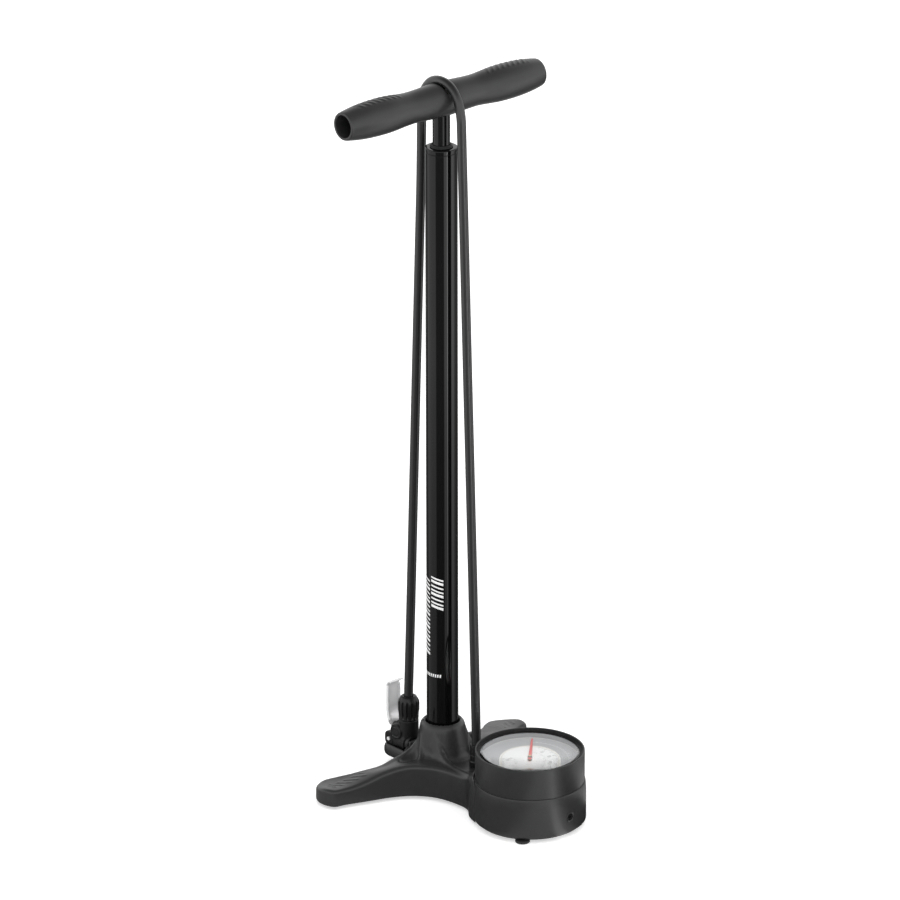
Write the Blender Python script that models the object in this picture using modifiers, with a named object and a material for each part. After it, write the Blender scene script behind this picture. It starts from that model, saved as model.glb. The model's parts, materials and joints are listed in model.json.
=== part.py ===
"""Floor bike pump: a tall barrel on a two-footed base with a large pressure gauge,
a hose looped over the handle and a lever chuck parked on a dock behind the barrel.

Metres, +Z up. X runs along the handle and the feet, the gauge is at -Y and the chuck
at +Y. The origin is on the floor, in the middle of the pump's footprint."""

import math

import bmesh
import bpy
from mathutils import Matrix, Vector

# ---------------------------------------------------------------- driving sizes
GAP = 0.0003              # left between pieces that touch

# Base
PAD_T = 0.003             # rubber pads, so the base's underside is at this height
DECK_Z = 0.0304           # top of the base around the barrel
FOOT_AT = (0.1040, 0.0290)     # middle of a foot's paddle, from the barrel axis
FOOT_Z = 0.0176           # top of a foot's paddle
SLOPE = (0.056, 0.100)    # the foot's top slopes down between these distances
COLLAR_TOP = 0.0642
COLLAR_BORE = 0.0149
FLOOR_OF_BORE = 0.0220
RIB_DIRECTIONS = (168, 12, 246, 294)
COVER_R = 0.0240
COVER_TOP = 0.0050

# Barrel, rod and piston
BARREL_Y = 0.0499         # barrel axis, ahead of this the gauge, behind it the chuck
BARREL_R = 0.0145
BARREL_BORE = 0.0130
BARREL_LOW = 0.0243
CAP_LOW = 0.5976
CAP_SEAM = 0.6086
CAP_TOP = 0.6128
STROKE = 0.480            # how far the handle and rod rise
ROD_R = 0.00785
ROD_BORE = 0.0064
ROD_LOW = 0.0463
ROD_HIGH = 0.6537
PISTON_LOW = 0.0360
BUMPER_TOP = ROD_LOW + 0.0100
GUIDE_LOW = BUMPER_TOP + STROKE + 0.0007

# Valve under the barrel and the air passage to the hose and the gauge
AIR_Z = 0.012
CHAMBER_R = 0.0068
SEAT_LOW = 0.0160
PLUG_TOP = 0.0076
SEAT_BORE = 0.0043        # bore for the hose fitting's stem
STEM_BORE = 0.0038        # bore for the gauge socket's stem

# Handle, a turned grip along X
HANDLE_Z = 0.6568
HANDLE_HALF = 0.1144
BOLT_SEAT = 0.6610
# Handle radius at distances from its middle, from the middle out to the end.
GRIP = [(0.0, 0.0158), (0.012, 0.0154), (0.026, 0.0146), (0.038, 0.0143), (0.050, 0.0151),
        (0.062, 0.0161), (0.073, 0.0164), (0.086, 0.0161), (0.098, 0.0152), (0.108, 0.0138),
        (0.1126, 0.0130)]
GRIP_END_R = 0.0124
GRIP_BORE = 0.0102
GRIP_BORE_FROM = 0.0300
GROOVE_R = 0.0066

# Hose
HOSE_R = 0.0041
HOSE_TOP = 0.6736         # the hose's middle line over the handle
ARCH_Z = 0.6400           # above this it bends
HOSE_LOW_END = 0.0408     # inside the ferrule
HOSE_FAR_END = 0.0600     # inside the chuck's nut
FITTING_Y = BARREL_Y - 0.0462
FERRULE_TOP = 0.0520
# The hose's route seen from +X, as (distance from the barrel axis, height).
HOSE_ROUTE = [
    (-0.0462, HOSE_LOW_END), (-0.0462, 0.0560), (-0.0453, 0.0900), (-0.0418, 0.2000),
    (-0.0382, 0.3070), (-0.0346, 0.4100), (-0.0313, 0.5080), (-0.0285, 0.5900),
    (-0.0271, 0.6300), (-0.0262, 0.6460), (-0.0222, 0.6600), (-0.0130, 0.6702),
    (0.0, HOSE_TOP), (0.0130, 0.6702), (0.0222, 0.6600), (0.0260, 0.6460),
    (0.0264, 0.6300), (0.0276, 0.5750), (0.0305, 0.4980), (0.0347, 0.3900),
    (0.0390, 0.2760), (0.0430, 0.1700), (0.0461, 0.0950), (0.0470, 0.0760), (0.0470, HOSE_FAR_END),
]

# Gauge
GAUGE_Y = BARREL_Y - 0.1189
CUP_R = 0.0509
CUP_BORE = 0.0479
CUP_TOP = 0.0435
BEZEL_R = 0.0495
RIM_TOP = 0.0700
LEDGE_Z = 0.0655          # the lens rests here
SKIRT_LOW = 0.0165
DIAL_TOP = 0.0608
SET_SCREW_Z = 0.0200
HOUSING_SCREW_X = 0.0160
HOUSING_SCREW_Z = 0.0100
PAD_RING_R = 0.0450       # the gauge's two pads, from its axis

# Gauge movement
BOURDON_R = 0.0360
BOURDON_Z = 0.0260
FRAME_LOW = 0.0320
PLATE_T = 0.0015
FRAME_TOP = FRAME_LOW + 0.0110
PINION_TEETH = 10
SECTOR_TEETH = 50
MODULE = 0.0008
PRESSURE_DEG = 25.0
BACKLASH = 0.00016
GEAR_LOW = 0.036
GEAR_T = 0.002
NEEDLE_ZERO_DEG = 45.0    # pointer direction at no pressure, counted from +X
SECTOR_X = -(PINION_TEETH + SECTOR_TEETH) * MODULE / 2

# Chuck and its dock
CHUCK_Y = BARREL_Y + 0.0470    # hose axis where it enters the chuck
CHUCK_Z = 0.0245               # the chuck's valve axis
MOUTH_Y = BARREL_Y + 0.0386
PIVOT_Y = BARREL_Y + 0.0640    # lever pin
DOCK_FRONT = BARREL_Y + 0.0344
DOCK_BACK = BARREL_Y + 0.0700
DOCK_SCREW_Z = 0.0172
NUT_LOW = 0.0434
NUT_TOP = 0.0703
FLUTES = 10

# Screw threads aren't cut: plain bores a little wider than the shanks
THREAD_BORE = 0.0014
SHANK_R = 0.0011

WIDE = 40                 # sides of the gauge's round pieces
ROUND = 32                # sides of a middling round piece
SMALL = 16                # sides of a small one
TINY = 10                 # sides of screws and their holes

# Half of the base's plan, x below zero, seen from the barrel axis: from the back of the
# hub, out along the foot, round its tip and back along the concave front to the gauge.
HALF_PLAN = [
    (0.0000, 0.0340), (-0.0180, 0.0300), (-0.0330, 0.0215), (-0.0546, 0.0175),
    (-0.0690, 0.0238), (-0.0800, 0.0310), (-0.0920, 0.0410), (-0.1040, 0.0472),
    (-0.1145, 0.0440), (-0.1205, 0.0355), (-0.1218, 0.0255), (-0.1178, 0.0148),
    (-0.1080, 0.0098), (-0.0864, 0.0032), (-0.0647, -0.0036), (-0.0464, -0.0144),
    (-0.0342, -0.0322), (-0.0296, -0.0583), (-0.0318, -0.0717), (-0.0388, -0.0859),
]

# ---------------------------------------------------------------- scene and helpers
for old in list(bpy.data.objects):
    bpy.data.objects.remove(old, do_unlink=True)

parts = bpy.data.collections.new("floor_bike_pump")
cutters = bpy.data.collections.new("cutters")
bpy.context.scene.collection.children.link(parts)
bpy.context.scene.collection.children.link(cutters)


def material(name, colour, roughness, metallic=0.0, alpha=1.0):
    found = bpy.data.materials.get(name)
    if found:
        return found
    made = bpy.data.materials.new(name)
    made.use_nodes = True
    shader = made.node_tree.nodes["Principled BSDF"]
    shader.inputs["Base Color"].default_value = (*colour, 1.0)
    shader.inputs["Roughness"].default_value = roughness
    shader.inputs["Metallic"].default_value = metallic
    shader.inputs["Alpha"].default_value = alpha
    made.diffuse_color = (*colour, alpha)
    return made


def composite():
    return material("dark_composite", (0.055, 0.055, 0.057), 0.55)


def gloss_black():
    return material("gloss_black_paint", (0.008, 0.008, 0.009), 0.12)


def black_plastic():
    return material("black_plastic", (0.02, 0.02, 0.021), 0.45)


def rubber():
    return material("black_rubber", (0.022, 0.022, 0.023), 0.7)


def steel():
    return material("plain_steel", (0.55, 0.55, 0.56), 0.3, 1.0)


def polished():
    return material("polished_aluminium", (0.86, 0.86, 0.87), 0.12, 1.0)


def brass():
    return material("brass", (0.72, 0.52, 0.25), 0.3, 1.0)


def guide_plastic():
    return material("guide_plastic", (0.75, 0.75, 0.72), 0.5)


def dial_white():
    return material("dial_white", (0.86, 0.86, 0.85), 0.5)


def pointer_red():
    return material("pointer_red", (0.65, 0.03, 0.03), 0.4)


def clear():
    return material("clear_lens", (0.95, 0.97, 0.97), 0.03, 0.0, 0.25)


def place(obj, where=parts):
    for home in list(obj.users_collection):
        home.objects.unlink(obj)
    where.objects.link(obj)
    return obj


def soften(mesh, angle=35.0):
    mesh.shade_smooth()
    mesh.set_sharp_from_angle(angle=math.radians(angle))


def finish(obj, name, look):
    obj.name = name
    obj.data.name = name
    obj.data.materials.clear()
    obj.data.materials.append(look)
    return obj


def turned(name, profile, look, at=(0.0, 0.0, 0.0), turn=(0.0, 0.0, 0.0), steps=ROUND, closed=True):
    """A profile of (radius, height) points, down its outer side and up its inner one."""
    mesh = bpy.data.meshes.new(name)
    shape = bmesh.new()
    verts = [shape.verts.new((r, 0.0, z)) for r, z in profile]
    count = len(verts)
    for i in range(count if closed else count - 1):
        shape.edges.new((verts[i], verts[(i + 1) % count]))
    shape.to_mesh(mesh)
    shape.free()
    obj = bpy.data.objects.new(name, mesh)
    parts.objects.link(obj)
    obj.location = at
    obj.rotation_euler = turn
    screw = obj.modifiers.new("turn", "SCREW")
    screw.steps = steps
    screw.render_steps = steps
    screw.use_merge_vertices = True
    screw.merge_threshold = 0.00001
    screw.use_smooth_shade = True
    return finish(obj, name, look)


def rod(name, radius, low, high, look, at=(0.0, 0.0), chamfer=0.0, steps=SMALL):
    """An upright solid bar between two heights."""
    profile = [
        (0.0, high),
        (radius - chamfer, high),
        (radius, high - chamfer),
        (radius, low + chamfer),
        (radius - chamfer, low),
        (0.0, low),
    ]
    if not chamfer:
        profile = [(0.0, high), (radius, high), (radius, low), (0.0, low)]
    return turned(name, profile, look, (at[0], at[1], 0.0), steps=steps, closed=False)


def ring(name, inner, outer, low, high, look, at=(0.0, 0.0), steps=ROUND):
    """An upright ring with a square section."""
    profile = [(outer, high), (outer, low), (inner, low), (inner, high)]
    return turned(name, profile, look, (at[0], at[1], 0.0), steps=steps)


def bar(name, radius, centre, length, axis, look=None, where=parts, steps=SMALL):
    """A cylinder along X, Y or Z about its centre."""
    turn = {"X": (0.0, math.pi / 2, 0.0), "Y": (math.pi / 2, 0.0, 0.0), "Z": (0.0, 0.0, 0.0)}[axis]
    bpy.ops.mesh.primitive_cylinder_add(
        vertices=steps, radius=radius, depth=length, location=centre, rotation=turn
    )
    obj = place(bpy.context.object, where)
    soften(obj.data)
    return finish(obj, name, look or composite())


def box(name, low, high, look=None, where=parts):
    """A box between two corners, its scale already in the mesh."""
    bpy.ops.mesh.primitive_cube_add(size=1.0)
    obj = place(bpy.context.object, where)
    low, high = Vector(low), Vector(high)
    size = high - low
    obj.data.transform(Matrix.Diagonal((*size, 1.0)))
    obj.location = (low + high) / 2
    return finish(obj, name, look or composite())


def hide(cutter):
    place(cutter, cutters)
    cutter.hide_render = True
    cutter.display_type = "WIRE"
    return cutter


def combine(obj, other, operation):
    """Cut the object by a cutter, or join a second shape to it."""
    hide(other)
    change = obj.modifiers.new(operation.lower(), "BOOLEAN")
    change.operation = operation
    change.solver = "EXACT"
    change.object = other
    return obj


def cut(obj, other):
    return combine(obj, other, "DIFFERENCE")


def join(obj, other):
    return combine(obj, other, "UNION")


def bevel(obj, width, segments=2, angle=30.0):
    edge = obj.modifiers.new("edges", "BEVEL")
    edge.width = width
    edge.segments = segments
    edge.limit_method = "ANGLE"
    edge.angle_limit = math.radians(angle)
    return obj


def slab(name, outline, low, high, look=None):
    """A flat outline of (x, y) points given a thickness between two heights."""
    curve = bpy.data.curves.new(name, "CURVE")
    curve.dimensions = "2D"
    curve.fill_mode = "BOTH"
    curve.extrude = (high - low) / 2
    spline = curve.splines.new("POLY")
    spline.points.add(len(outline) - 1)
    for point, (x, y) in zip(spline.points, outline):
        point.co = (x, y, 0.0, 1.0)
    spline.use_cyclic_u = True
    guide = bpy.data.objects.new(name + "_curve", curve)
    parts.objects.link(guide)
    guide.location = (0.0, 0.0, (low + high) / 2)
    return as_mesh(guide, name, look or composite())


def as_mesh(guide, name, look):
    """A curve made a closed mesh with its caps welded on; the curve is removed."""
    bpy.context.view_layer.update()
    evaluated = guide.evaluated_get(bpy.context.evaluated_depsgraph_get())
    mesh = bpy.data.meshes.new_from_object(evaluated)
    shape = bmesh.new()
    shape.from_mesh(mesh)
    bmesh.ops.remove_doubles(shape, verts=shape.verts, dist=0.000002)
    bmesh.ops.recalc_face_normals(shape, faces=shape.faces)
    shape.to_mesh(mesh)
    shape.free()
    obj = bpy.data.objects.new(name, mesh)
    obj.matrix_world = guide.matrix_world
    parts.objects.link(obj)
    bpy.data.objects.remove(guide, do_unlink=True)
    return finish(obj, name, look)


def tube_along(name, route, radius, look, resolution=2):
    """A round tube with capped ends along a list of points."""
    curve = bpy.data.curves.new(name, "CURVE")
    curve.dimensions = "3D"
    curve.bevel_depth = radius
    curve.bevel_resolution = resolution
    curve.use_fill_caps = True
    spline = curve.splines.new("POLY")
    spline.points.add(len(route) - 1)
    for point, place_at in zip(spline.points, route):
        point.co = (*place_at, 1.0)
    obj = bpy.data.objects.new(name, curve)
    parts.objects.link(obj)
    return finish(obj, name, look)


def smooth_through(points, per_span):
    """Points on a smooth curve through the given ones (a Catmull-Rom curve)."""
    points = [Vector(p) for p in points]
    ends = [2 * points[0] - points[1], *points, 2 * points[-1] - points[-2]]
    found = []
    for i in range(len(points) - 1):
        a, b, c, d = ends[i : i + 4]
        for step in range(per_span):
            t = step / per_span
            found.append(
                0.5 * (2 * b + (c - a) * t + (2 * a - 5 * b + 4 * c - d) * t**2
                       + (3 * b - a - 3 * c + d) * t**3)
            )
    found.append(points[-1])
    return found


def thinned(points, spacing_at):
    """The same route with fewer points, as far apart as the place on it asks for."""
    found, since = [points[0]], 0.0
    for last, point in zip(points, points[1:-1]):
        since += (point - last).length
        if since >= spacing_at(point):
            found.append(point)
            since = 0.0
    if since + (points[-1] - points[-2]).length < 0.5 * spacing_at(points[-1]):
        found.pop()
    return found + [points[-1]]


# ---------------------------------------------------------------- base
def base_outline():
    """The whole plan: the left half, the seat round the gauge cup, the right half."""
    half = [(p.x, p.y + BARREL_Y) for p in smooth_through([(*p, 0.0) for p in HALF_PLAN], 2)]
    seat_r = CUP_R + GAP
    start = math.atan2(half[-1][1] - GAUGE_Y, half[-1][0])
    for i in range(7):
        angle = start + (math.pi / 2 - start) * i / 6
        point = (seat_r * math.cos(angle), GAUGE_Y + seat_r * math.sin(angle))
        half = half[:-1] + [point] if i == 0 else half + [point]
    return half + [(-x, y) for x, y in reversed(half[1:-1])]


def foot_slope():
    """Everything above the feet's sloping tops, as a slab across the base in Y."""
    slope_in, slope_out = SLOPE
    side = [(slope_in - 0.004, DECK_Z + 0.002)]
    for i in range(1, 9):
        t = i / 8
        drop = (1 - math.cos(math.pi * t)) / 2
        side.append((slope_in + (slope_out - slope_in) * t, DECK_Z + (FOOT_Z - DECK_Z) * drop))
    side += [(0.130, FOOT_Z), (0.130, DECK_Z + 0.004)]
    return side


def base_body():
    plate = slab("base_body", base_outline(), PAD_T, DECK_Z)
    for sign in (-1, 1):
        wedge = slab("foot_slope", foot_slope(), -0.08, 0.08)
        wedge.data.transform(Matrix.Diagonal((sign, 1, 1, 1)) @ Matrix.Rotation(math.pi / 2, 4, "X"))
        if sign < 0:
            wedge.data.flip_normals()
        wedge.matrix_world = Matrix.Translation((0, BARREL_Y, 0))
        cut(plate, wedge)
    collar = [
        (0.0, COLLAR_TOP), (0.0165, COLLAR_TOP), (0.0187, COLLAR_TOP - 0.0012),
        (0.0200, COLLAR_TOP - 0.0045), (0.0208, 0.0563), (0.0237, 0.0405), (0.0262, 0.0330),
        (0.0285, DECK_Z - 0.002), (0.0285, 0.0100), (0.0, 0.0100),
    ]
    join(plate, turned("collar", collar, composite(), (0, BARREL_Y, 0), closed=False))
    for degrees in RIB_DIRECTIONS:
        join(plate, rib(degrees))
    bore_out_base(plate)
    return plate


def rib(degrees):
    """A web that runs down from the collar onto the deck."""
    side = [(0.016, 0.0560), (0.0215, 0.0545), (0.0262, 0.0450), (0.0330, 0.0375),
            (0.0430, 0.0325), (0.0540, DECK_Z + 0.0003), (0.0540, 0.0200), (0.016, 0.0200)]
    web = slab("rib", side, -0.0035, 0.0035)
    web.data.transform(Matrix.Rotation(math.pi / 2, 4, "X"))
    web.matrix_world = Matrix.Translation((0, BARREL_Y, 0)) @ Matrix.Rotation(
        math.radians(degrees), 4, "Z"
    )
    return web


def bore_out_base(body):
    """The barrel's socket, the valve chamber, the air passage and the pockets below."""
    stepped = [
        (0.0, COLLAR_TOP + 0.006), (COLLAR_BORE, COLLAR_TOP + 0.006), (COLLAR_BORE, FLOOR_OF_BORE),
        (CHAMBER_R, FLOOR_OF_BORE), (CHAMBER_R, COVER_TOP + GAP), (COVER_R + GAP, COVER_TOP + GAP),
        (COVER_R + GAP, 0.0), (0.0, 0.0),
    ]
    cut(body, turned("bore", stepped, composite(), (0, BARREL_Y, 0), closed=False))
    cut(body, bar("seat_bore", SEAT_BORE, (0, FITTING_Y, AIR_Z + 0.0145), 0.0310, "Z", where=cutters))
    stem_end = BARREL_Y - 0.0580
    seat_end = GAUGE_Y + CUP_R - 0.002
    middle = (0, (stem_end + seat_end) / 2, AIR_Z)
    cut(body, bar("stem_bore", STEM_BORE, middle, stem_end - seat_end, "Y", where=cutters))
    middle = (0, (BARREL_Y + stem_end) / 2 - 0.001, AIR_Z)
    cut(body, bar("air_bore", 0.0020, middle, BARREL_Y - stem_end, "Y", where=cutters, steps=TINY))
    for x, y in cover_screw_places():
        cut(body, bar("screw_bore", THREAD_BORE, (x, y, 0.0100), 0.0120, "Z", where=cutters, steps=TINY))
    for x in (-HOUSING_SCREW_X, HOUSING_SCREW_X):
        y = housing_screw_y(CUP_R)
        middle = (x, y + 0.004, HOUSING_SCREW_Z)
        cut(body, bar("screw_bore", THREAD_BORE, middle, 0.0130, "Y", where=cutters, steps=TINY))
    for sign in (-1, 1):
        x, y = foot_place(sign)
        cut(body, bar("pad_bore", 0.0043, (x, y, PAD_T + 0.0015), 0.0055, "Z", where=cutters))
        cut(body, foot_pocket(sign))
    dock_at = (0, BARREL_Y + 0.0300, DOCK_SCREW_Z)
    cut(body, bar("screw_bore", THREAD_BORE, dock_at, 0.0140, "Y", where=cutters, steps=TINY))


def foot_place(sign):
    return sign * FOOT_AT[0], BARREL_Y + FOOT_AT[1]


def foot_pocket(sign):
    """A long pocket in a foot's underside, as a moulded base has."""
    low, high = Vector((0.046, 0.0060)), Vector((0.084, 0.0185))
    along = math.atan2(high.y - low.y, high.x - low.x)
    outline = []
    for centre, start in ((high, along - math.pi / 2), (low, along + math.pi / 2)):
        for i in range(7):
            angle = start + math.pi * i / 6
            x = centre.x + 0.0065 * math.cos(angle)
            outline.append((sign * x, BARREL_Y + centre.y + 0.0065 * math.sin(angle)))
    return slab("pocket", outline, -0.001, PAD_T + 0.007)


def cover_screw_places():
    for i in range(3):
        angle = math.radians(90 + 120 * i)
        yield 0.0180 * math.cos(angle), BARREL_Y + 0.0180 * math.sin(angle)


def housing_screw_y(radius, x=HOUSING_SCREW_X):
    """Where a line at this x meets a circle about the gauge's axis."""
    return GAUGE_Y + math.sqrt(radius**2 - x**2)


def screw(name, at, turn, head_r=0.0026, head_t=0.0018, shank_r=SHANK_R, length=0.008):
    """A pan-head screw, head upwards before it is turned, its underside at the place."""
    profile = [
        (0.0, head_t), (head_r * 0.7, head_t), (head_r, head_t * 0.5), (head_r, 0.0),
        (shank_r, 0.0), (shank_r, -length), (0.0, -length),
    ]
    return turned(name, profile, steel(), at, turn, steps=TINY, closed=False)


def base_pieces():
    base_body()
    cover = rod("bottom_cover", COVER_R, PAD_T, COVER_TOP, black_plastic(), (0, BARREL_Y), 0.0004, ROUND)
    for i, (x, y) in enumerate(cover_screw_places()):
        cut(cover, bar("screw_hole", THREAD_BORE, (x, y, 0.004), 0.006, "Z", where=cutters, steps=16))
        cut(cover, bar("head_recess", 0.0030, (x, y, 0.0024), 0.0032, "Z", where=cutters, steps=16))
        name = f"cover_screw_{i + 1}"
        screw(name, (x, y, 0.0037), (math.pi, 0, 0), 0.0026, 0.0006, SHANK_R, 0.0095)
    for side, sign in (("left", -1), ("right", 1)):
        x, y = foot_place(sign)
        profile = [(0.0, 0.0072), (0.0036, 0.0072), (0.0040, 0.0068), (0.0040, PAD_T - GAP),
                   (0.0095, PAD_T - GAP), (0.0095, 0.0006), (0.0089, 0.0), (0.0, 0.0)]
        turned(f"{side}_foot_pad", profile, rubber(), (x, y, 0), steps=SMALL, closed=False)
        angle = math.radians(270 + sign * 50)
        pad = box(f"gauge_pad_{side}", (-0.0045, -0.0080, 0), (0.0045, 0.0080, PAD_T - GAP), rubber())
        pad.rotation_euler = (0, 0, angle)
        x, y = PAD_RING_R * math.cos(angle), GAUGE_Y + PAD_RING_R * math.sin(angle)
        pad.location = (x, y, (PAD_T - GAP) / 2)
        bevel(pad, 0.0006, 1)


# ---------------------------------------------------------------- barrel and valve
def barrel_pieces():
    at = (0, BARREL_Y)
    ring("barrel", BARREL_BORE, BARREL_R, BARREL_LOW, CAP_SEAM - GAP, gloss_black(), at)
    cap = [
        (0.0146, CAP_TOP - 0.0006), (0.0146, CAP_SEAM), (0.0127, CAP_SEAM), (0.0127, CAP_LOW),
        (0.0083, CAP_LOW), (0.0083, CAP_TOP), (0.0140, CAP_TOP),
    ]
    turned("barrel_cap", cap, gloss_black(), (*at, 0))
    ring("rod_guide", 0.0082, 0.0127, GUIDE_LOW, CAP_LOW - GAP, guide_plastic(), at)
    wiper = [(0.0104, CAP_TOP + GAP), (0.0082, CAP_TOP + GAP), (0.0082, CAP_TOP + 0.0026),
             (0.0088, CAP_TOP + 0.0026), (0.0104, CAP_TOP + 0.0012)]
    turned("rod_wiper", wiper, rubber(), (*at, 0), steps=ROUND)
    ring("barrel_seal", 0.0118, 0.0142, FLOOR_OF_BORE + GAP, BARREL_LOW - GAP, rubber(), at)


def valve_pieces():
    at = (0, BARREL_Y)
    seat = [
        (0.0126, 0.0296), (0.0126, 0.0246), (0.0064, 0.0246), (0.0064, SEAT_LOW),
        (0.0020, SEAT_LOW), (0.0020, 0.0296),
    ]
    turned("valve_seat", seat, brass(), (*at, 0), steps=ROUND)
    poppet = [
        (0.0, SEAT_LOW - GAP), (0.0046, SEAT_LOW - GAP), (0.0046, SEAT_LOW - 0.0022),
        (0.0014, SEAT_LOW - 0.0028), (0.0014, 0.0074), (0.0, 0.0074),
    ]
    turned("check_valve", poppet, rubber(), (*at, 0), steps=SMALL, closed=False)
    plug = [
        (0.0, 0.0058), (0.0018, 0.0058), (0.0018, PLUG_TOP), (0.0065, PLUG_TOP),
        (0.0065, COVER_TOP + GAP), (0.0, COVER_TOP + GAP),
    ]
    turned("valve_plug", plug, brass(), (*at, 0), steps=SMALL, closed=False)
    helix = []
    turns, per_turn, radius, wire = 4, 10, 0.0033, 0.00035
    low, high = PLUG_TOP + wire + 0.0002, SEAT_LOW - 0.0028 - wire - 0.0002
    for i in range(turns * per_turn + 1):
        angle = 2 * math.pi * i / per_turn
        z = low + (high - low) * i / (turns * per_turn)
        helix.append((radius * math.cos(angle), BARREL_Y + radius * math.sin(angle), z))
    tube_along("valve_spring", helix, wire, steel(), 1)


# ---------------------------------------------------------------- rod, piston, handle
def piston_pieces():
    at = (0, BARREL_Y, 0)
    ring("piston_rod", ROD_BORE, ROD_R, ROD_LOW, ROD_HIGH, gloss_black(), at[:2])
    piston = [
        (0.0, ROD_LOW + 0.0150), (0.0061, ROD_LOW + 0.0150), (0.0061, ROD_LOW - GAP),
        (0.0123, ROD_LOW - GAP), (0.0123, PISTON_LOW + 0.0066), (0.0103, PISTON_LOW + 0.0066),
        (0.0103, PISTON_LOW + 0.0026), (0.0123, PISTON_LOW + 0.0026), (0.0123, PISTON_LOW + 0.0008),
        (0.0115, PISTON_LOW), (0.0, PISTON_LOW),
    ]
    turned("piston_head", piston, guide_plastic(), at, steps=ROUND, closed=False)
    seal = [(0.0127, PISTON_LOW + 0.0060), (0.0127, PISTON_LOW + 0.0032),
            (0.0106, PISTON_LOW + 0.0029), (0.0106, PISTON_LOW + 0.0063)]
    turned("piston_seal", seal, rubber(), at, steps=ROUND)
    ring("topout_bumper", 0.0082, 0.0112, ROD_LOW + 0.0002, BUMPER_TOP, rubber(), at[:2])
    plug = [(0.0061, ROD_HIGH - 0.0003), (0.0061, ROD_HIGH - 0.0230),
            (0.0033, ROD_HIGH - 0.0230), (0.0033, ROD_HIGH - 0.0003)]
    turned("rod_top_plug", plug, steel(), at, steps=SMALL)
    bolt = [
        (0.0, BOLT_SEAT + 0.0045), (0.0040, BOLT_SEAT + 0.0045), (0.0046, BOLT_SEAT + 0.0040),
        (0.0046, BOLT_SEAT), (0.0030, BOLT_SEAT), (0.0030, ROD_HIGH - 0.0200), (0.0, ROD_HIGH - 0.0200),
    ]
    head = turned("handle_bolt", bolt, steel(), at, steps=SMALL, closed=False)
    middle = (0, BARREL_Y, BOLT_SEAT + 0.0040)
    cut(head, bar("hex_socket", 0.0026, middle, 0.0050, "Z", where=cutters, steps=6))


def handle():
    """A turned grip along X, hollow from both ends, with a groove across the top."""
    outer = [(r, x) for x, r in GRIP]
    down = [(GRIP_END_R, HANDLE_HALF), *reversed(outer)]
    down += [(r, -x) for r, x in outer[1:]] + [(GRIP_END_R, -HANDLE_HALF)]
    profile = [
        (0.0, GRIP_BORE_FROM), (GRIP_BORE - 0.0012, GRIP_BORE_FROM),
        (GRIP_BORE, HANDLE_HALF), *down, (GRIP_BORE, -HANDLE_HALF),
        (GRIP_BORE - 0.0012, -GRIP_BORE_FROM), (0.0, -GRIP_BORE_FROM),
    ]
    at, turn = (0, BARREL_Y, HANDLE_Z), (0, math.pi / 2, 0)
    grip = turned("handle", profile, composite(), at, turn, steps=24, closed=False)
    groove_z = HOSE_TOP - HOSE_R - 0.0004 + GROOVE_R
    cut(grip, bar("groove", GROOVE_R, (0, BARREL_Y, groove_z), 0.05, "Y", where=cutters))
    cut(grip, saddle())
    low = HANDLE_Z - 0.02
    rod_hole = (0, BARREL_Y, (low + ROD_HIGH + GAP) / 2)
    cut(grip, bar("rod_hole", 0.0082, rod_hole, ROD_HIGH + GAP - low, "Z", where=cutters, steps=ROUND))
    cut(grip, bar("bolt_hole", 0.0033, (0, BARREL_Y, HANDLE_Z), 0.03, "Z", where=cutters))
    head_hole = (0, BARREL_Y, BOLT_SEAT - GAP + 0.010)
    cut(grip, bar("head_hole", 0.0050, head_hole, 0.020, "Z", where=cutters))


# ---------------------------------------------------------------- hose
def hose_points(on_arch, on_strands):
    """The hose's middle line, its points closer where it bends over the handle."""
    route = smooth_through([(0, BARREL_Y + y, z) for y, z in HOSE_ROUTE], 24)
    return thinned(route, lambda p: on_arch if p.z > ARCH_Z else on_strands)


def hose():
    tube_along("hose", hose_points(0.0080, 0.0190), HOSE_R, rubber(), 2)


def saddle():
    """The space that the hose takes as it bends over the handle, a little larger."""
    over = [p for p in hose_points(0.0060, 0.0060) if p.z > ARCH_Z]
    guide = tube_along("saddle", over, HOSE_R + 0.0012, composite(), 3)
    return as_mesh(guide, "saddle", composite())


def hose_fitting():
    profile = [
        (0.0057, FERRULE_TOP - 0.0006), (0.0057, 0.0362), (0.0063, 0.0358), (0.0063, DECK_Z + GAP),
        (0.0040, DECK_Z + GAP), (0.0040, AIR_Z + 0.0030), (0.0015, AIR_Z + 0.0030),
        (0.0015, HOSE_LOW_END - 0.0004), (0.0045, HOSE_LOW_END - 0.0004), (0.0045, FERRULE_TOP),
        (0.0052, FERRULE_TOP),
    ]
    turned("hose_fitting", profile, black_plastic(), (0, FITTING_Y, 0), steps=SMALL)


# ---------------------------------------------------------------- gauge
def gauge_housing():
    """The gauge's lower cup with its bores."""
    profile = [
        (0.0, 0.0060), (CUP_BORE, 0.0060), (CUP_BORE, CUP_TOP), (CUP_R - 0.0006, CUP_TOP),
        (CUP_R, CUP_TOP - 0.0006), (CUP_R, PAD_T + 0.0010), (CUP_R - 0.0010, PAD_T), (0.0, PAD_T),
    ]
    cup = turned("gauge_housing", profile, composite(), (0, GAUGE_Y, 0), steps=WIDE, closed=False)
    wall_y = GAUGE_Y + CUP_R - 0.002
    cut(cup, bar("stem_bore", STEM_BORE, (0, wall_y, AIR_Z), 0.012, "Y", where=cutters))
    for x in (-HOUSING_SCREW_X, HOUSING_SCREW_X):
        y = housing_screw_y(CUP_R)
        middle = (x, y - 0.002, HOUSING_SCREW_Z)
        cut(cup, bar("screw_bore", THREAD_BORE, middle, 0.012, "Y", where=cutters, steps=TINY))
    front = (0, GAUGE_Y - CUP_R + 0.002, SET_SCREW_Z)
    cut(cup, bar("set_screw_bore", 0.0022, front, 0.010, "Y", where=cutters, steps=16))
    return cup


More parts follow.
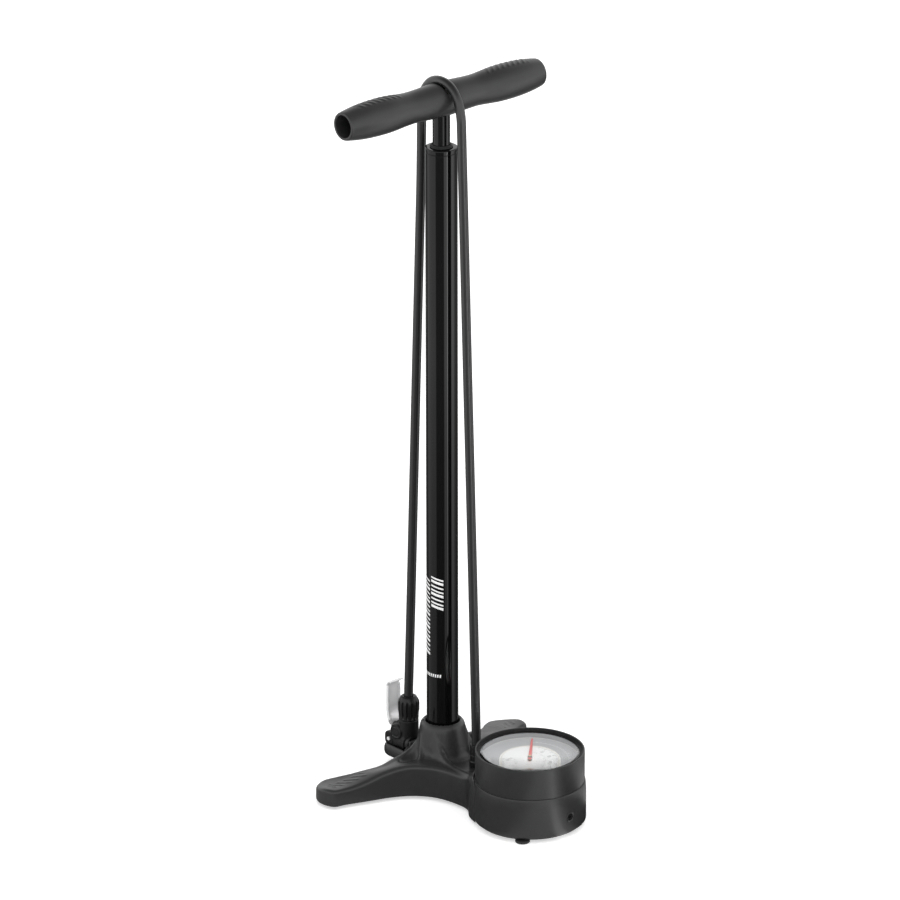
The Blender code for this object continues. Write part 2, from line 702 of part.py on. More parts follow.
def bezel_and_lens():
    at = (0, GAUGE_Y, 0)
    bezel = [
        (BEZEL_R - 0.0005, RIM_TOP), (BEZEL_R, RIM_TOP - 0.0005), (BEZEL_R, CUP_TOP + GAP),
        (0.0475, CUP_TOP + GAP), (0.0475, SKIRT_LOW), (0.0462, SKIRT_LOW), (0.0462, 0.0570),
        (0.0436, 0.0575), (0.0436, 0.0597), (0.0445, 0.0597), (0.0445, LEDGE_Z),
        (0.0483, LEDGE_Z), (0.0483, RIM_TOP),
    ]
    turned("gauge_bezel", bezel, composite(), at, steps=WIDE)
    gasket = [(0.0480, 0.0680), (0.0480, LEDGE_Z + GAP), (0.0455, LEDGE_Z + GAP), (0.0455, 0.0680)]
    turned("lens_gasket", gasket, rubber(), at, steps=WIDE)
    lens = [(0.0, 0.0681), (0.0446, 0.0681), (0.0452, 0.0675), (0.0452, LEDGE_Z + GAP),
            (0.0, LEDGE_Z + GAP)]
    turned("gauge_lens", lens, clear(), at, steps=WIDE, closed=False)
    dial = [(0.0442, DIAL_TOP), (0.0442, DIAL_TOP - 0.0008), (0.0020, DIAL_TOP - 0.0008),
            (0.0020, DIAL_TOP)]
    turned("gauge_dial", dial, dial_white(), at)
    place_at = (0, GAUGE_Y - CUP_R + 0.0022, SET_SCREW_Z)
    set_screw = bar("bezel_set_screw", 0.0019, place_at, 0.0022, "Y", steel(), steps=16)
    hex_at = (0, place_at[1] - 0.0010, SET_SCREW_Z)
    cut(set_screw, bar("hex_socket", 0.0010, hex_at, 0.0018, "Y", where=cutters, steps=6))
    for side, x in (("left", -HOUSING_SCREW_X), ("right", HOUSING_SCREW_X)):
        y = housing_screw_y(CUP_BORE, HOUSING_SCREW_X + 0.0027) - GAP
        screw(f"housing_screw_{side}", (x, y, HOUSING_SCREW_Z), (math.pi / 2, 0, 0), length=0.0120)


# ---------------------------------------------------------------- gauge movement
def bourdon_pieces():
    socket_face = GAUGE_Y + 0.0434
    socket = box("gauge_socket", (-0.006, socket_face - 0.0090, 0.0070), (0.006, socket_face, 0.0316),
                 brass())
    stem_end = BARREL_Y - 0.0620
    middle = (0, (socket_face + stem_end) / 2 - 0.0005, AIR_Z)
    join(socket, bar("stem", 0.0035, middle, stem_end - socket_face + 0.0010, "Y", where=cutters))
    cut(socket, bar("stem_air", 0.0012, middle, 0.040, "Y", where=cutters, steps=TINY))
    arc = []
    for i in range(25):
        angle = math.radians(100.8 + (336 - 100.8) * i / 24)
        arc.append((BOURDON_R * math.cos(angle), GAUGE_Y + BOURDON_R * math.sin(angle), BOURDON_Z))
    tube_along("bourdon_tube", arc, 0.0020, brass(), 1)
    tip = arc[-1]
    tail_at = (SECTOR_X - 0.0070, GAUGE_Y)
    link = slab("tube_link", link_outline(tip[:2], tail_at), 0.0288, 0.0296, steel())
    return link


def link_outline(start, end):
    """A straight flat bar with round ends between two points, short of the second."""
    start, end = Vector(start), Vector(end)
    along = (end - start).normalized()
    heading = math.atan2(along.y, along.x)
    outline = []
    for centre, first in ((end - along * 0.004, heading - math.pi / 2), (start, heading + math.pi / 2)):
        for i in range(7):
            angle = first + math.pi * i / 6
            outline.append((centre.x + 0.0014 * math.cos(angle), centre.y + 0.0014 * math.sin(angle)))
    return outline


def movement_frame():
    """Two plates held apart by pillars, with an arm that reaches the socket."""
    low_plate = (FRAME_LOW, FRAME_LOW + PLATE_T)
    high_plate = (FRAME_TOP - PLATE_T, FRAME_TOP)
    x0, x1 = SECTOR_X - 0.006, 0.0065
    frame = box("movement_frame", (x0, GAUGE_Y - 0.012, low_plate[0]), (x1, GAUGE_Y + 0.012, low_plate[1]),
                brass())
    top = box("top_plate", (x0, GAUGE_Y - 0.012, high_plate[0]), (x1, GAUGE_Y + 0.012, high_plate[1]),
              where=cutters)
    join(frame, top)
    arm_end = GAUGE_Y + 0.0420
    arm = box("arm", (-0.0045, GAUGE_Y + 0.010, low_plate[0]), (0.0045, arm_end, low_plate[1]), where=cutters)
    join(frame, arm)
    for y in (-0.0100, 0.0100):
        middle = (0.0040, GAUGE_Y + y, (low_plate[0] + high_plate[1]) / 2)
        join(frame, bar("pillar", 0.0018, middle, 0.0100, "Z", where=cutters, steps=TINY))
    for x in (0.0, SECTOR_X):
        cut(frame, bar("arbor_hole", 0.0018, (x, GAUGE_Y, 0.038), 0.03, "Z", where=cutters, steps=16))
    x, y = 0, GAUGE_Y + 0.0390
    cut(frame, bar("screw_hole", THREAD_BORE, (x, y, FRAME_LOW), 0.006, "Z", where=cutters, steps=TINY))
    socket = bpy.data.objects["gauge_socket"]
    cut(socket, bar("screw_bore", THREAD_BORE, (x, y, 0.029), 0.010, "Z", where=cutters, steps=TINY))
    screw("movement_screw", (x, y, low_plate[1] + GAP), (0, 0, 0), length=0.007)


def involute(angle):
    return math.tan(angle) - angle


def tooth_outline(teeth, numbers, phase):
    """Gear teeth round a centre: one outline point list for the teeth numbered."""
    pressure = math.radians(PRESSURE_DEG)
    pitch_r = teeth * MODULE / 2
    base_r = pitch_r * math.cos(pressure)
    root_r, tip_r = pitch_r - 1.15 * MODULE, pitch_r + 0.8 * MODULE
    half_pitch = math.pi / (2 * teeth) - BACKLASH / (2 * pitch_r)
    low_r = max(base_r, root_r)
    flank = [(root_r, half_pitch + involute(pressure) - involute(math.acos(base_r / low_r)))]
    for i in range(4):
        r = low_r + (tip_r - low_r) * i / 3
        flank.append((r, half_pitch + involute(pressure) - involute(math.acos(min(1, base_r / r)))))
    if low_r == root_r:
        flank = flank[1:]
    outline = []
    for number in numbers:
        middle = phase + 2 * math.pi * number / teeth
        outline += [(r, middle - turn) for r, turn in flank]
        outline += [(r, middle + turn) for r, turn in reversed(flank)]
    return [(r * math.cos(a), r * math.sin(a)) for r, a in outline]


def gears():
    teeth = tooth_outline(PINION_TEETH, range(PINION_TEETH), math.pi)
    outline = [(x, GAUGE_Y + y) for x, y in teeth]
    pinion = slab("pinion_arbor", outline, GEAR_LOW - 0.0005, GEAR_LOW + GEAR_T + 0.0005, brass())
    join(pinion, bar("shaft", 0.0012, (0, GAUGE_Y, 0.0470), 0.0330, "Z", where=cutters, steps=16))
    teeth = tooth_outline(SECTOR_TEETH, range(-9, 2), math.pi / SECTOR_TEETH)
    last = math.radians(12.0)
    back = [(0.0150 * math.cos(last), 0.0150 * math.sin(last)), (0.0030, 0.0038), (-0.0080, 0.0022),
            (-0.0080, -0.0022), (-0.0022, -0.0042)]
    outline = [(SECTOR_X + x, GAUGE_Y + y) for x, y in teeth + back]
    sector = slab("sector_gear", outline, GEAR_LOW, GEAR_LOW + GEAR_T, brass())
    cut(sector, bar("hub_hole", 0.0017, (SECTOR_X, GAUGE_Y, 0.037), 0.01, "Z", where=cutters, steps=16))
    bar("sector_arbor", 0.0014, (SECTOR_X, GAUGE_Y, 0.0375), 0.0130, "Z", steel(), steps=16)


def pointer():
    """The needle: a tapered pointer with a short tail and a round hub."""
    outline = [(0.0395, 0.0), (0.0360, 0.0009), (0.0, 0.0017), (-0.0110, 0.0021),
               (-0.0110, -0.0021), (0.0, -0.0017), (0.0360, -0.0009)]
    needle = slab("gauge_needle", outline, 0.0, 0.0005, pointer_red())
    needle.data.transform(Matrix.Translation((0, 0, 0.00025)))
    needle.matrix_world = Matrix.Translation((0, GAUGE_Y, DIAL_TOP + 0.0015)) @ Matrix.Rotation(
        math.radians(NEEDLE_ZERO_DEG), 4, "Z"
    )
    hub = bar("hub", 0.0032, (0, GAUGE_Y, DIAL_TOP + 0.0019), 0.0016, "Z", where=cutters)
    join(needle, hub)
    cut(needle, bar("hub_hole", 0.0015, (0, GAUGE_Y, DIAL_TOP + 0.0012), 0.003, "Z", where=cutters, steps=16))


# ---------------------------------------------------------------- chuck and dock
def chuck_dock():
    """A tray behind the base with a blind post that the chuck's mouth sits on."""
    front = DOCK_FRONT
    dock = box("chuck_dock", (-0.0135, front, 0.0070), (0.0135, DOCK_BACK, 0.0220), composite())
    bevel(dock, 0.0060, 3)
    inner = box("dock_hollow", (-0.0111, front + 0.0036, 0.0118), (0.0111, DOCK_BACK - 0.0026, 0.0400),
                where=cutters)
    cut(dock, bevel(inner, 0.0024, 1))
    notch = box("lever_notch", (-0.0103, DOCK_BACK - 0.0072, 0.0162), (0.0103, DOCK_BACK + 0.01, 0.0410),
                where=cutters)
    cut(dock, notch)
    lug = box("front_lug", (-0.0090, front, 0.0090), (0.0090, front + 0.0036, 0.0300), where=cutters)
    join(dock, bevel(lug, 0.0010, 1))
    post_end = front + 0.0100
    middle = (0, (front + 0.001 + post_end) / 2, CHUCK_Z)
    join(dock, bar("post", 0.0030, middle, post_end - front - 0.001, "Y", where=cutters))
    hole = (0, front + 0.002, DOCK_SCREW_Z)
    cut(dock, bar("screw_hole", THREAD_BORE, hole, 0.010, "Y", where=cutters, steps=TINY))
    recess = (0, front + 0.0066, DOCK_SCREW_Z)
    cut(dock, bar("head_recess", 0.0030, recess, 0.0100, "Y", where=cutters, steps=16))
    seat = front + 0.0016 + GAP
    screw("dock_screw", (0, seat, DOCK_SCREW_Z), (-math.pi / 2, 0, 0), head_t=0.0016, length=0.0085)


def chuck_pieces():
    turn = (-math.pi / 2, 0, 0)                       # local Z becomes +Y
    ring_profile = [(0.0092, 0.0042), (0.0092, 0.0006), (0.0086, 0.0), (0.0040, 0.0), (0.0040, 0.0012),
                    (0.0078, 0.0012), (0.0078, 0.0042)]
    turned("chuck_mouth_ring", ring_profile, black_plastic(), (0, MOUTH_Y, CHUCK_Z), turn, steps=ROUND)
    seal = [(0.0060, 0.0080), (0.0060, 0.0016), (0.0034, 0.0016), (0.0034, 0.0080)]
    turned("chuck_seal", seal, rubber(), (0, MOUTH_Y, CHUCK_Z), turn, steps=SMALL)
    body = [
        (0.0100, 0.0194), (0.0104, 0.0188), (0.0104, 0.0050), (0.0098, 0.0045), (0.0074, 0.0045),
        (0.0074, 0.0015), (0.0063, 0.0015), (0.0063, 0.0194),
    ]
    chuck = turned("chuck_body", body, black_plastic(), (0, MOUTH_Y, CHUCK_Z), turn, steps=24)
    boss_low, boss_high = CHUCK_Z + 0.0096, 0.0420
    boss_at = (0, CHUCK_Y, (boss_low + boss_high) / 2)
    boss = bar("boss", 0.0090, boss_at, boss_high - boss_low, "Z", where=cutters, steps=24)
    join(chuck, boss)
    stem = bar("stem", 0.0060, (0, CHUCK_Y, 0.0480), 0.0140, "Z", where=cutters)
    join(chuck, stem)
    cap = bar("side_cap", 0.0074, (-0.0085, CHUCK_Y + 0.0040, 0.0350), 0.0040, "X", where=cutters, steps=20)
    join(chuck, cap)
    for sign in (-1, 1):
        x = sorted((sign * 0.0048, sign * 0.0082))
        ear = box("ear", (x[0], MOUTH_Y + 0.0180, CHUCK_Z - 0.0060),
                  (x[1], PIVOT_Y + 0.0055, CHUCK_Z + 0.0060), where=cutters)
        join(chuck, bevel(ear, 0.0020, 1))
    plunger_bore = (0, MOUTH_Y + 0.0160, CHUCK_Z)
    cut(chuck, bar("plunger_bore", 0.00632, plunger_bore, 0.0120, "Y", where=cutters, steps=24))
    cut(chuck, bar("pin_hole", 0.0019, (0, PIVOT_Y, CHUCK_Z), 0.03, "X", where=cutters, steps=16))
    bore = bar("hose_bore", 0.0020, (0, CHUCK_Y, 0.0440), 0.0300, "Z", where=cutters, steps=TINY)
    cut(chuck, bore)
    bar("lever_pin", 0.0016, (0, PIVOT_Y, CHUCK_Z), 0.0186, "X", polished(), steps=16)
    plunger = [(0.0, 0.0192), (0.0050, 0.0192), (0.0060, 0.0184), (0.0060, 0.0086), (0.0, 0.0086)]
    turned("clamp_plunger", plunger, steel(), (0, MOUTH_Y, CHUCK_Z), turn, steps=SMALL, closed=False)
    chuck_nut()


def chuck_nut():
    """A fluted nut over the hose's end."""
    low, high = NUT_LOW, NUT_TOP
    profile = [
        (0.0060, high), (0.0074, high - 0.0006), (0.0099, high - 0.0066), (0.0099, high - 0.0150),
        (0.0090, low + 0.0020), (0.0090, low), (0.0064, low), (0.0064, 0.0570), (0.0046, 0.0590),
        (0.0046, high),
    ]
    nut = turned("chuck_nut", profile, black_plastic(), (0, CHUCK_Y, 0), steps=20)
    for i in range(FLUTES):
        angle = 2 * math.pi * (i + 0.5) / FLUTES
        x, y = 0.0106 * math.cos(angle), CHUCK_Y + 0.0106 * math.sin(angle)
        middle = (x, y, (low + 0.0040 + high) / 2)
        cut(nut, bar("flute", 0.0016, middle, high - low - 0.0040, "Z", where=cutters, steps=6))


def lever():
    """A channel-shaped lever standing up behind the hose, its cam between the ears."""
    side = [
        (0.0, -0.0034), (0.0040, -0.0012), (0.0056, 0.0050), (0.0060, 0.0110), (0.0060, 0.0500),
        (0.0036, 0.0548), (-0.0010, 0.0556), (-0.0010, 0.0540), (0.0026, 0.0530), (0.0040, 0.0495),
        (0.0040, 0.0120), (0.0010, 0.0075), (-0.0048, 0.0042), (-0.0056, 0.0),
    ]
    plate = slab("chuck_lever", side, -0.0080, 0.0080, polished())
    stand = Matrix(((0, 0, 1, 0), (1, 0, 0, 0), (0, 1, 0, 0), (0, 0, 0, 1)))
    plate.data.transform(stand)
    plate.location = (0, PIVOT_Y, CHUCK_Z)
    for sign in (-1, 1):
        x = sorted((sign * 0.0044, sign * 0.0100))
        cut(plate, box("cam_relief", (x[0], PIVOT_Y - 0.02, CHUCK_Z - 0.01),
                       (x[1], PIVOT_Y + 0.0140, CHUCK_Z + 0.0090), where=cutters))
        x = sorted((sign * 0.0066, sign * 0.0080))
        flange = box("flange", (x[0], PIVOT_Y + 0.0010, CHUCK_Z + 0.0110),
                     (x[1], PIVOT_Y + 0.0050, CHUCK_Z + 0.0520), where=cutters)
        join(plate, flange)
    slot = box("finger_slot", (-0.0040, PIVOT_Y - 0.01, CHUCK_Z + 0.0440),
               (0.0040, PIVOT_Y + 0.01, CHUCK_Z + 0.0485), where=cutters)
    cut(plate, slot)
    cut(plate, bar("pin_hole", 0.0019, (0, PIVOT_Y, CHUCK_Z), 0.03, "X", where=cutters, steps=16))


base_pieces()
barrel_pieces()
valve_pieces()
piston_pieces()
handle()
hose()
hose_fitting()
gauge_housing()
bezel_and_lens()
bourdon_pieces()
movement_frame()
gears()
pointer()
chuck_dock()
chuck_pieces()
lever()
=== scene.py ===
"""Looks for the floor bike pump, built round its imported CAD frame.

Metres, +Z up. X runs along the handle and the feet, the gauge is at -Y and the chuck
at +Y. Moulded pieces are skinned from distance fields, round ones are turned."""

import json
import math

import bmesh
import bpy
import numpy as np
from mathutils import Matrix, Vector

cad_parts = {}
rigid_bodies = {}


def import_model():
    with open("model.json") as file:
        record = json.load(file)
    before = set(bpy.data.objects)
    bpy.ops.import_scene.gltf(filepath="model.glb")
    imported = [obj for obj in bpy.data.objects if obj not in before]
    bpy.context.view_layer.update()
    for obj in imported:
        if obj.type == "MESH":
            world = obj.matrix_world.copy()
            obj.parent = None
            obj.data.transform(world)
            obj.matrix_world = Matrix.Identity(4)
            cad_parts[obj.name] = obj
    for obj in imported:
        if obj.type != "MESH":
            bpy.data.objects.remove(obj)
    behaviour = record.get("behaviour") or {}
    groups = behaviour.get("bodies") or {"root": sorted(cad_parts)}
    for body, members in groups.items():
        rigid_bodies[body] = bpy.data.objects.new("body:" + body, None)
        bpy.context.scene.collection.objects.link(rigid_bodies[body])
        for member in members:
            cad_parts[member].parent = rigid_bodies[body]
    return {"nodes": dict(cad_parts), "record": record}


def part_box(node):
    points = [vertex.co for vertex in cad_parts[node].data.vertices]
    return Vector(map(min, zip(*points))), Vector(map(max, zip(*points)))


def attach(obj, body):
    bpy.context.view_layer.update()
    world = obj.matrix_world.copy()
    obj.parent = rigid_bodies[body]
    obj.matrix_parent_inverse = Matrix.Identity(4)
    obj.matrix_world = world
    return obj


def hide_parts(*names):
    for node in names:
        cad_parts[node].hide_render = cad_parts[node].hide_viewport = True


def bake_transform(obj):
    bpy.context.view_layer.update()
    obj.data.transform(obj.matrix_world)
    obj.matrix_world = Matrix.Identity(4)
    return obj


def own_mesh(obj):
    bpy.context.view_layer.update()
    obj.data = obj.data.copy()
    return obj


for old in list(bpy.data.objects):
    bpy.data.objects.remove(old, do_unlink=True)

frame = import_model()
bpy.context.view_layer.update()


# ---------------------------------------------------------------- places from the frame
def middle(node):
    low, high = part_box(node)
    return (low + high) / 2


def low(node):
    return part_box(node)[0]


def high(node):
    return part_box(node)[1]


def span(node):
    """The heights a node's box stands between."""
    return low(node).z, high(node).z


BARREL_Y = middle("barrel").y
GAUGE_Y = middle("gauge_bezel").y
FITTING_Y = middle("hose_fitting").y
NUT_Y = middle("chuck_nut").y
PAD_T = low("base_body").z
BARREL_R = (high("barrel").x - low("barrel").x) / 2
ROD_R = (high("piston_rod").x - low("piston_rod").x) / 2
CUP_R = (high("gauge_housing").x - low("gauge_housing").x) / 2
BEZEL_R = (high("gauge_bezel").x - low("gauge_bezel").x) / 2
HANDLE_Z = (low("handle").z + high("handle").z) / 2
HANDLE_HALF = high("handle").x
DIAL_TOP = high("gauge_dial").z - 0.0008
WELD = 0.000001          # corners closer than this are joined
SLOTS = {part["node"]: part["material_slot"] for part in frame["record"]["subparts"]}


def mm(rows):
    """Rows of millimetres as rows of metres."""
    return [tuple(value / 1000 for value in row) for row in rows]


# ---------------------------------------------------------------- materials
def node_of(tree, kind, **values):
    made = tree.nodes.new(kind)
    for key, value in values.items():
        if key in made.inputs:
            made.inputs[key].default_value = value
        else:
            setattr(made, key, value)
    return made


def noise(tree, scale, detail=3.0, roughness=0.5):
    """Noise laid out in the row frame's metres, so its grain has a real size."""
    where = node_of(tree, "ShaderNodeTexCoord")
    made = node_of(tree, "ShaderNodeTexNoise", Scale=scale, Detail=detail, Roughness=roughness)
    tree.links.new(where.outputs["Object"], made.inputs["Vector"])
    return made.outputs["Fac"]


def spread(tree, source, to_min, to_max, from_min=0.3, from_max=0.7):
    made = node_of(tree, "ShaderNodeMapRange", **{
        "From Min": from_min, "From Max": from_max, "To Min": to_min, "To Max": to_max})
    tree.links.new(source, made.inputs["Value"])
    return made.outputs["Result"]


def mixed(tree, factor, first, second):
    """A colour between two, each a tuple or a socket."""
    made = node_of(tree, "ShaderNodeMix", data_type="RGBA")
    tree.links.new(factor, made.inputs["Factor"])
    for key, value in ((6, first), (7, second)):
        if isinstance(value, bpy.types.NodeSocket):
            tree.links.new(value, made.inputs[key])
        else:
            made.inputs[key].default_value = (*value, 1.0)
    return made.outputs[2]


# Every look as (colour, roughness, how far colour and roughness vary, the bump's noise
# scale, depth in metres and strength), then what only some of them have.
LOOKS = {
    "moulded_composite": ((0.021, 0.021, 0.0215), 0.34, 0.06, 0.03, 2600, 5e-5, 0.25),
    "gloss_paint": ((0.0018, 0.0018, 0.0019), 0.06, 0.1, 0.015, 260, 1e-5, 0.04),
    "rod_coating": ((0.003, 0.003, 0.0031), 0.08, 0.1, 0.02, 700, 1e-5, 0.05),
    "satin_plastic": ((0.008, 0.008, 0.0083), 0.32, 0.08, 0.05, 1800, 4e-5, 0.2),
    "hose_rubber": ((0.013, 0.013, 0.0135), 0.29, 0.05, 0.015, 200, 1e-5, 0.02),
    "dull_rubber": ((0.016, 0.016, 0.0165), 0.62, 0.12, 0.05, 1800, 8e-5, 0.35),
    "gasket_rubber": ((0.003, 0.003, 0.003), 0.5, 0.12, 0.05, 1800, 4e-5, 0.25),
    "zinc_steel": ((0.52, 0.52, 0.53), 0.3, 0.1, 0.08, 1500, 2e-5, 0.2),
    "blackened_steel": ((0.03, 0.03, 0.032), 0.35, 0.15, 0.08, 1200, 2e-5, 0.2),
    "polished_metal": ((0.95, 0.95, 0.96), 0.22, 0.03, 0.05, 500, 1e-5, 0.15),
    "turned_brass": ((0.72, 0.5, 0.22), 0.28, 0.12, 0.08, 1200, 2e-5, 0.2),
    "natural_acetal": ((0.72, 0.72, 0.69), 0.42, 0.04, 0.05, 1200, 4e-5, 0.25),
    "dial_white": ((0.88, 0.88, 0.87), 0.5, 0.02, 0.05, 1500, 2e-5, 0.1),
    # painted shade: the dial's outer ring is grey for the shade seen on the white dial through the
    # lens
    "dial_ring_painted_shade": ((0.34, 0.34, 0.35), 0.42, 0.03, 0.05, 1500, 2e-5, 0.1),
    "dial_wall_grey": ((0.24, 0.24, 0.25), 0.5, 0.04, 0.05, 1500, 2e-5, 0.1),
    "dial_print": ((0.22, 0.22, 0.22), 0.55, 0.1, 0.05, 2000, 4e-5, 0.25),
    "dial_line": ((0.42, 0.34, 0.18), 0.5, 0.1, 0.05, 2000, 4e-5, 0.25),
    "white_print": ((0.8, 0.8, 0.8), 0.4, 0.05, 0.05, 1500, 1e-5, 0.1),
    "pointer_red": ((0.58, 0.4, 0.39), 0.35, 0.08, 0.05, 1200, 4e-5, 0.25),
    "pale_floor": ((0.8, 0.8, 0.8), 0.7, 0.005, 0.05, 60, 0.0, 0.0),
}
METALLIC = {
    "zinc_steel": 1.0, "blackened_steel": 0.8, "polished_metal": 0.38, "turned_brass": 1.0,
}
PALER_EDGES = {"moulded_composite": 0.35, "satin_plastic": 0.4}
SPECULAR = {"moulded_composite": 0.65, "hose_rubber": 0.9}          # 0.5 otherwise


def fresh(name):
    made = bpy.data.materials.new(name)
    made.use_nodes = True
    return made, made.node_tree, made.node_tree.nodes.get("Principled BSDF")


def look(key):
    """A material with mottled colour, uneven gloss, a fine bump and paler worn edges."""
    found = bpy.data.materials.get(key)
    if found:
        return found
    if key == "clear_lens_moulding":
        return lens_glass()
    colour, rough, vary, rough_vary, grain, depth, strength = LOOKS[key]
    made, tree, shader = fresh(key)
    darker = tuple(c * (1 - vary) for c in colour)
    paler = tuple(min(1.0, c * (1 + vary)) for c in colour)
    body = mixed(tree, spread(tree, noise(tree, 45.0, 4.0), 0.0, 1.0), darker, paler)
    if key in PALER_EDGES:
        edge = node_of(tree, "ShaderNodeNewGeometry").outputs["Pointiness"]
        edge = spread(tree, edge, 0.0, PALER_EDGES[key], 0.52, 0.6)
        body = mixed(tree, edge, body, tuple(min(1.0, 2.6 * c + 0.02) for c in colour))
    tree.links.new(body, shader.inputs["Base Color"])
    gloss = spread(tree, noise(tree, 160.0, 3.0), rough - rough_vary, rough + rough_vary)
    tree.links.new(gloss, shader.inputs["Roughness"])
    bump = node_of(tree, "ShaderNodeBump", Strength=strength, Distance=depth)
    height = noise(tree, grain, 4.0, 0.6)
    if key == "polished_metal":
        brushed(tree, height.node)
    tree.links.new(height, bump.inputs["Height"])
    tree.links.new(bump.outputs["Normal"], shader.inputs["Normal"])
    shader.inputs["Metallic"].default_value = METALLIC.get(key, 0.0)
    shader.inputs["Specular IOR Level"].default_value = SPECULAR.get(key, 0.5)
    return made


def brushed(tree, grain):
    """Draws the grain out lengthways, as a polisher's brush does."""
    stretch = node_of(tree, "ShaderNodeMapping", Scale=(1.0, 1.0, 0.04))
    where = node_of(tree, "ShaderNodeTexCoord")
    tree.links.new(where.outputs["Object"], stretch.inputs["Vector"])
    tree.links.new(stretch.outputs["Vector"], grain.inputs["Vector"])


def lens_glass():
    """The gauge's clear moulded lens, with fine scuffs in its gloss."""
    made, tree, shader = fresh("clear_lens_moulding")
    shader.inputs["Base Color"].default_value = (0.97, 0.98, 0.98, 1.0)
    shader.inputs["Transmission Weight"].default_value = 1.0
    shader.inputs["IOR"].default_value = 1.49
    gloss = spread(tree, noise(tree, 120.0, 5.0, 0.65), 0.01, 0.05)
    tree.links.new(gloss, shader.inputs["Roughness"])
    return made


# ---------------------------------------------------------------- pieces
def linked(name, data):
    obj = bpy.data.objects.new(name, data)
    bpy.context.scene.collection.objects.link(obj)
    return obj


def add(name, mesh, key, body, node=None, sharp=40.0, calm=0):
    """Links a finished mesh, shades and smooths it, and rides it on a CAD body."""
    mesh.shade_smooth()
    mesh.set_sharp_from_angle(angle=math.radians(sharp))
    obj = linked(name, mesh)
    mesh.materials.clear()
    mesh.materials.append(look(key))
    if body:
        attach(obj, body)
    if node:
        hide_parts(node)
    if calm:
        calmed(obj, calm)
    return obj


def calmed(obj, passes):
    change = obj.modifiers.new("calm", "SMOOTH")
    change.factor = 0.5
    change.iterations = passes


def baked(obj):
    """The mesh that an object's modifiers, or its text, come to."""
    bpy.context.view_layer.update()
    return bpy.data.meshes.new_from_object(obj.evaluated_get(bpy.context.evaluated_depsgraph_get()))


def welded(node):
    """A CAD node's shape, its faces joined at their edges."""
    shape = bmesh.new()
    shape.from_mesh(frame["nodes"][node].data)
    bmesh.ops.remove_doubles(shape, verts=shape.verts, dist=WELD)
    return shape


def mesh_of(name, shape, turn_out=True):
    if turn_out:
        bmesh.ops.recalc_face_normals(shape, faces=shape.faces)
    mesh = bpy.data.meshes.new(name)
    shape.to_mesh(mesh)
    shape.free()
    return mesh


def loft(shape, rings, closed=False):
    """Faces between rings of corners; a ring that is one corner repeated makes a pole."""
    for one, two in zip(rings, rings[1:] + (rings[:1] if closed else [])):
        for i in range(len(one)):
            j = (i + 1) % len(one)
            corners = list(dict.fromkeys((one[i], one[j], two[j], two[i])))
            if len(corners) > 2:
                shape.faces.new(corners)


def rounded(profile, closed):
    """(radius, height, fillet) corners with each one eased over its fillet length."""
    found = []
    last = len(profile) - 1
    for i, (r, z, ease) in enumerate(profile):
        here = Vector((r, z))
        if not ease or (not closed and i in (0, last)):
            found.append(here)
            continue
        before = here + (Vector(profile[i - 1][:2]) - here).normalized() * ease
        after = here + (Vector(profile[(i + 1) % len(profile)][:2]) - here).normalized() * ease
        for step in range(5):
            t = step / 4
            found.append(before * (1 - t) ** 2 + here * 2 * t * (1 - t) + after * t**2)
    return found


def turned_mesh(name, profile, at, axis="Z", steps=96, closed=True, ripple=None):
    """A turned shape: corners run down its outside and up its inside, or pole to pole."""
    shape = bmesh.new()
    rings = []
    for r, h in rounded(profile, closed):
        if r < 1e-6:
            rings.append([shape.verts.new((0, 0, h))] * steps)
            continue
        ring = []
        for i in range(steps):
            angle = 2 * math.pi * i / steps
            radius = r + (ripple(angle, r, h) if ripple else 0.0)
            ring.append(shape.verts.new((radius * math.cos(angle), radius * math.sin(angle), h)))
        rings.append(ring)
    loft(shape, rings, closed)
    turn = {"Z": Matrix.Identity(3), "X": Matrix(((0, 0, 1), (1, 0, 0), (0, 1, 0))),
            "Y": Matrix(((0, 1, 0), (0, 0, 1), (1, 0, 0)))}[axis]
    bmesh.ops.transform(shape, matrix=Matrix.Translation(at) @ turn.to_4x4(), verts=shape.verts)
    return mesh_of(name, shape)


def turned(name, profile, at, key, body="base", node=None, slot=None, **kind):
    return add(name, turned_mesh(name, profile, at, **kind), key, body, node)


def refined(node, name, key, body, edge, segments=2):
    """A CAD node's shape with welded, smooth shaded faces and eased edges."""
    shape = welded(node)
    bmesh.ops.dissolve_limit(shape, angle_limit=math.radians(1), verts=shape.verts,
                             edges=shape.edges)
    obj = add(name, mesh_of(name, shape), key, body, node)
    ease = obj.modifiers.new("eased edges", "BEVEL")
    ease.width = edge
    ease.segments = segments
    ease.limit_method = "ANGLE"
    ease.angle_limit = math.radians(40)


def remoulded(node, name, key, body, cell, passes):
    """A CAD node's shape remeshed finely and smoothed, as a moulding's soft edges are."""
    obj = linked(name, mesh_of(name, welded(node)))
    grid = obj.modifiers.new("grid", "REMESH")
    grid.mode = "VOXEL"
    grid.voxel_size = cell
    calmed(obj, passes)
    mesh = baked(obj)
    bpy.data.objects.remove(obj)
    mesh.name = name
    add(name, mesh, key, body, node, sharp=60.0)


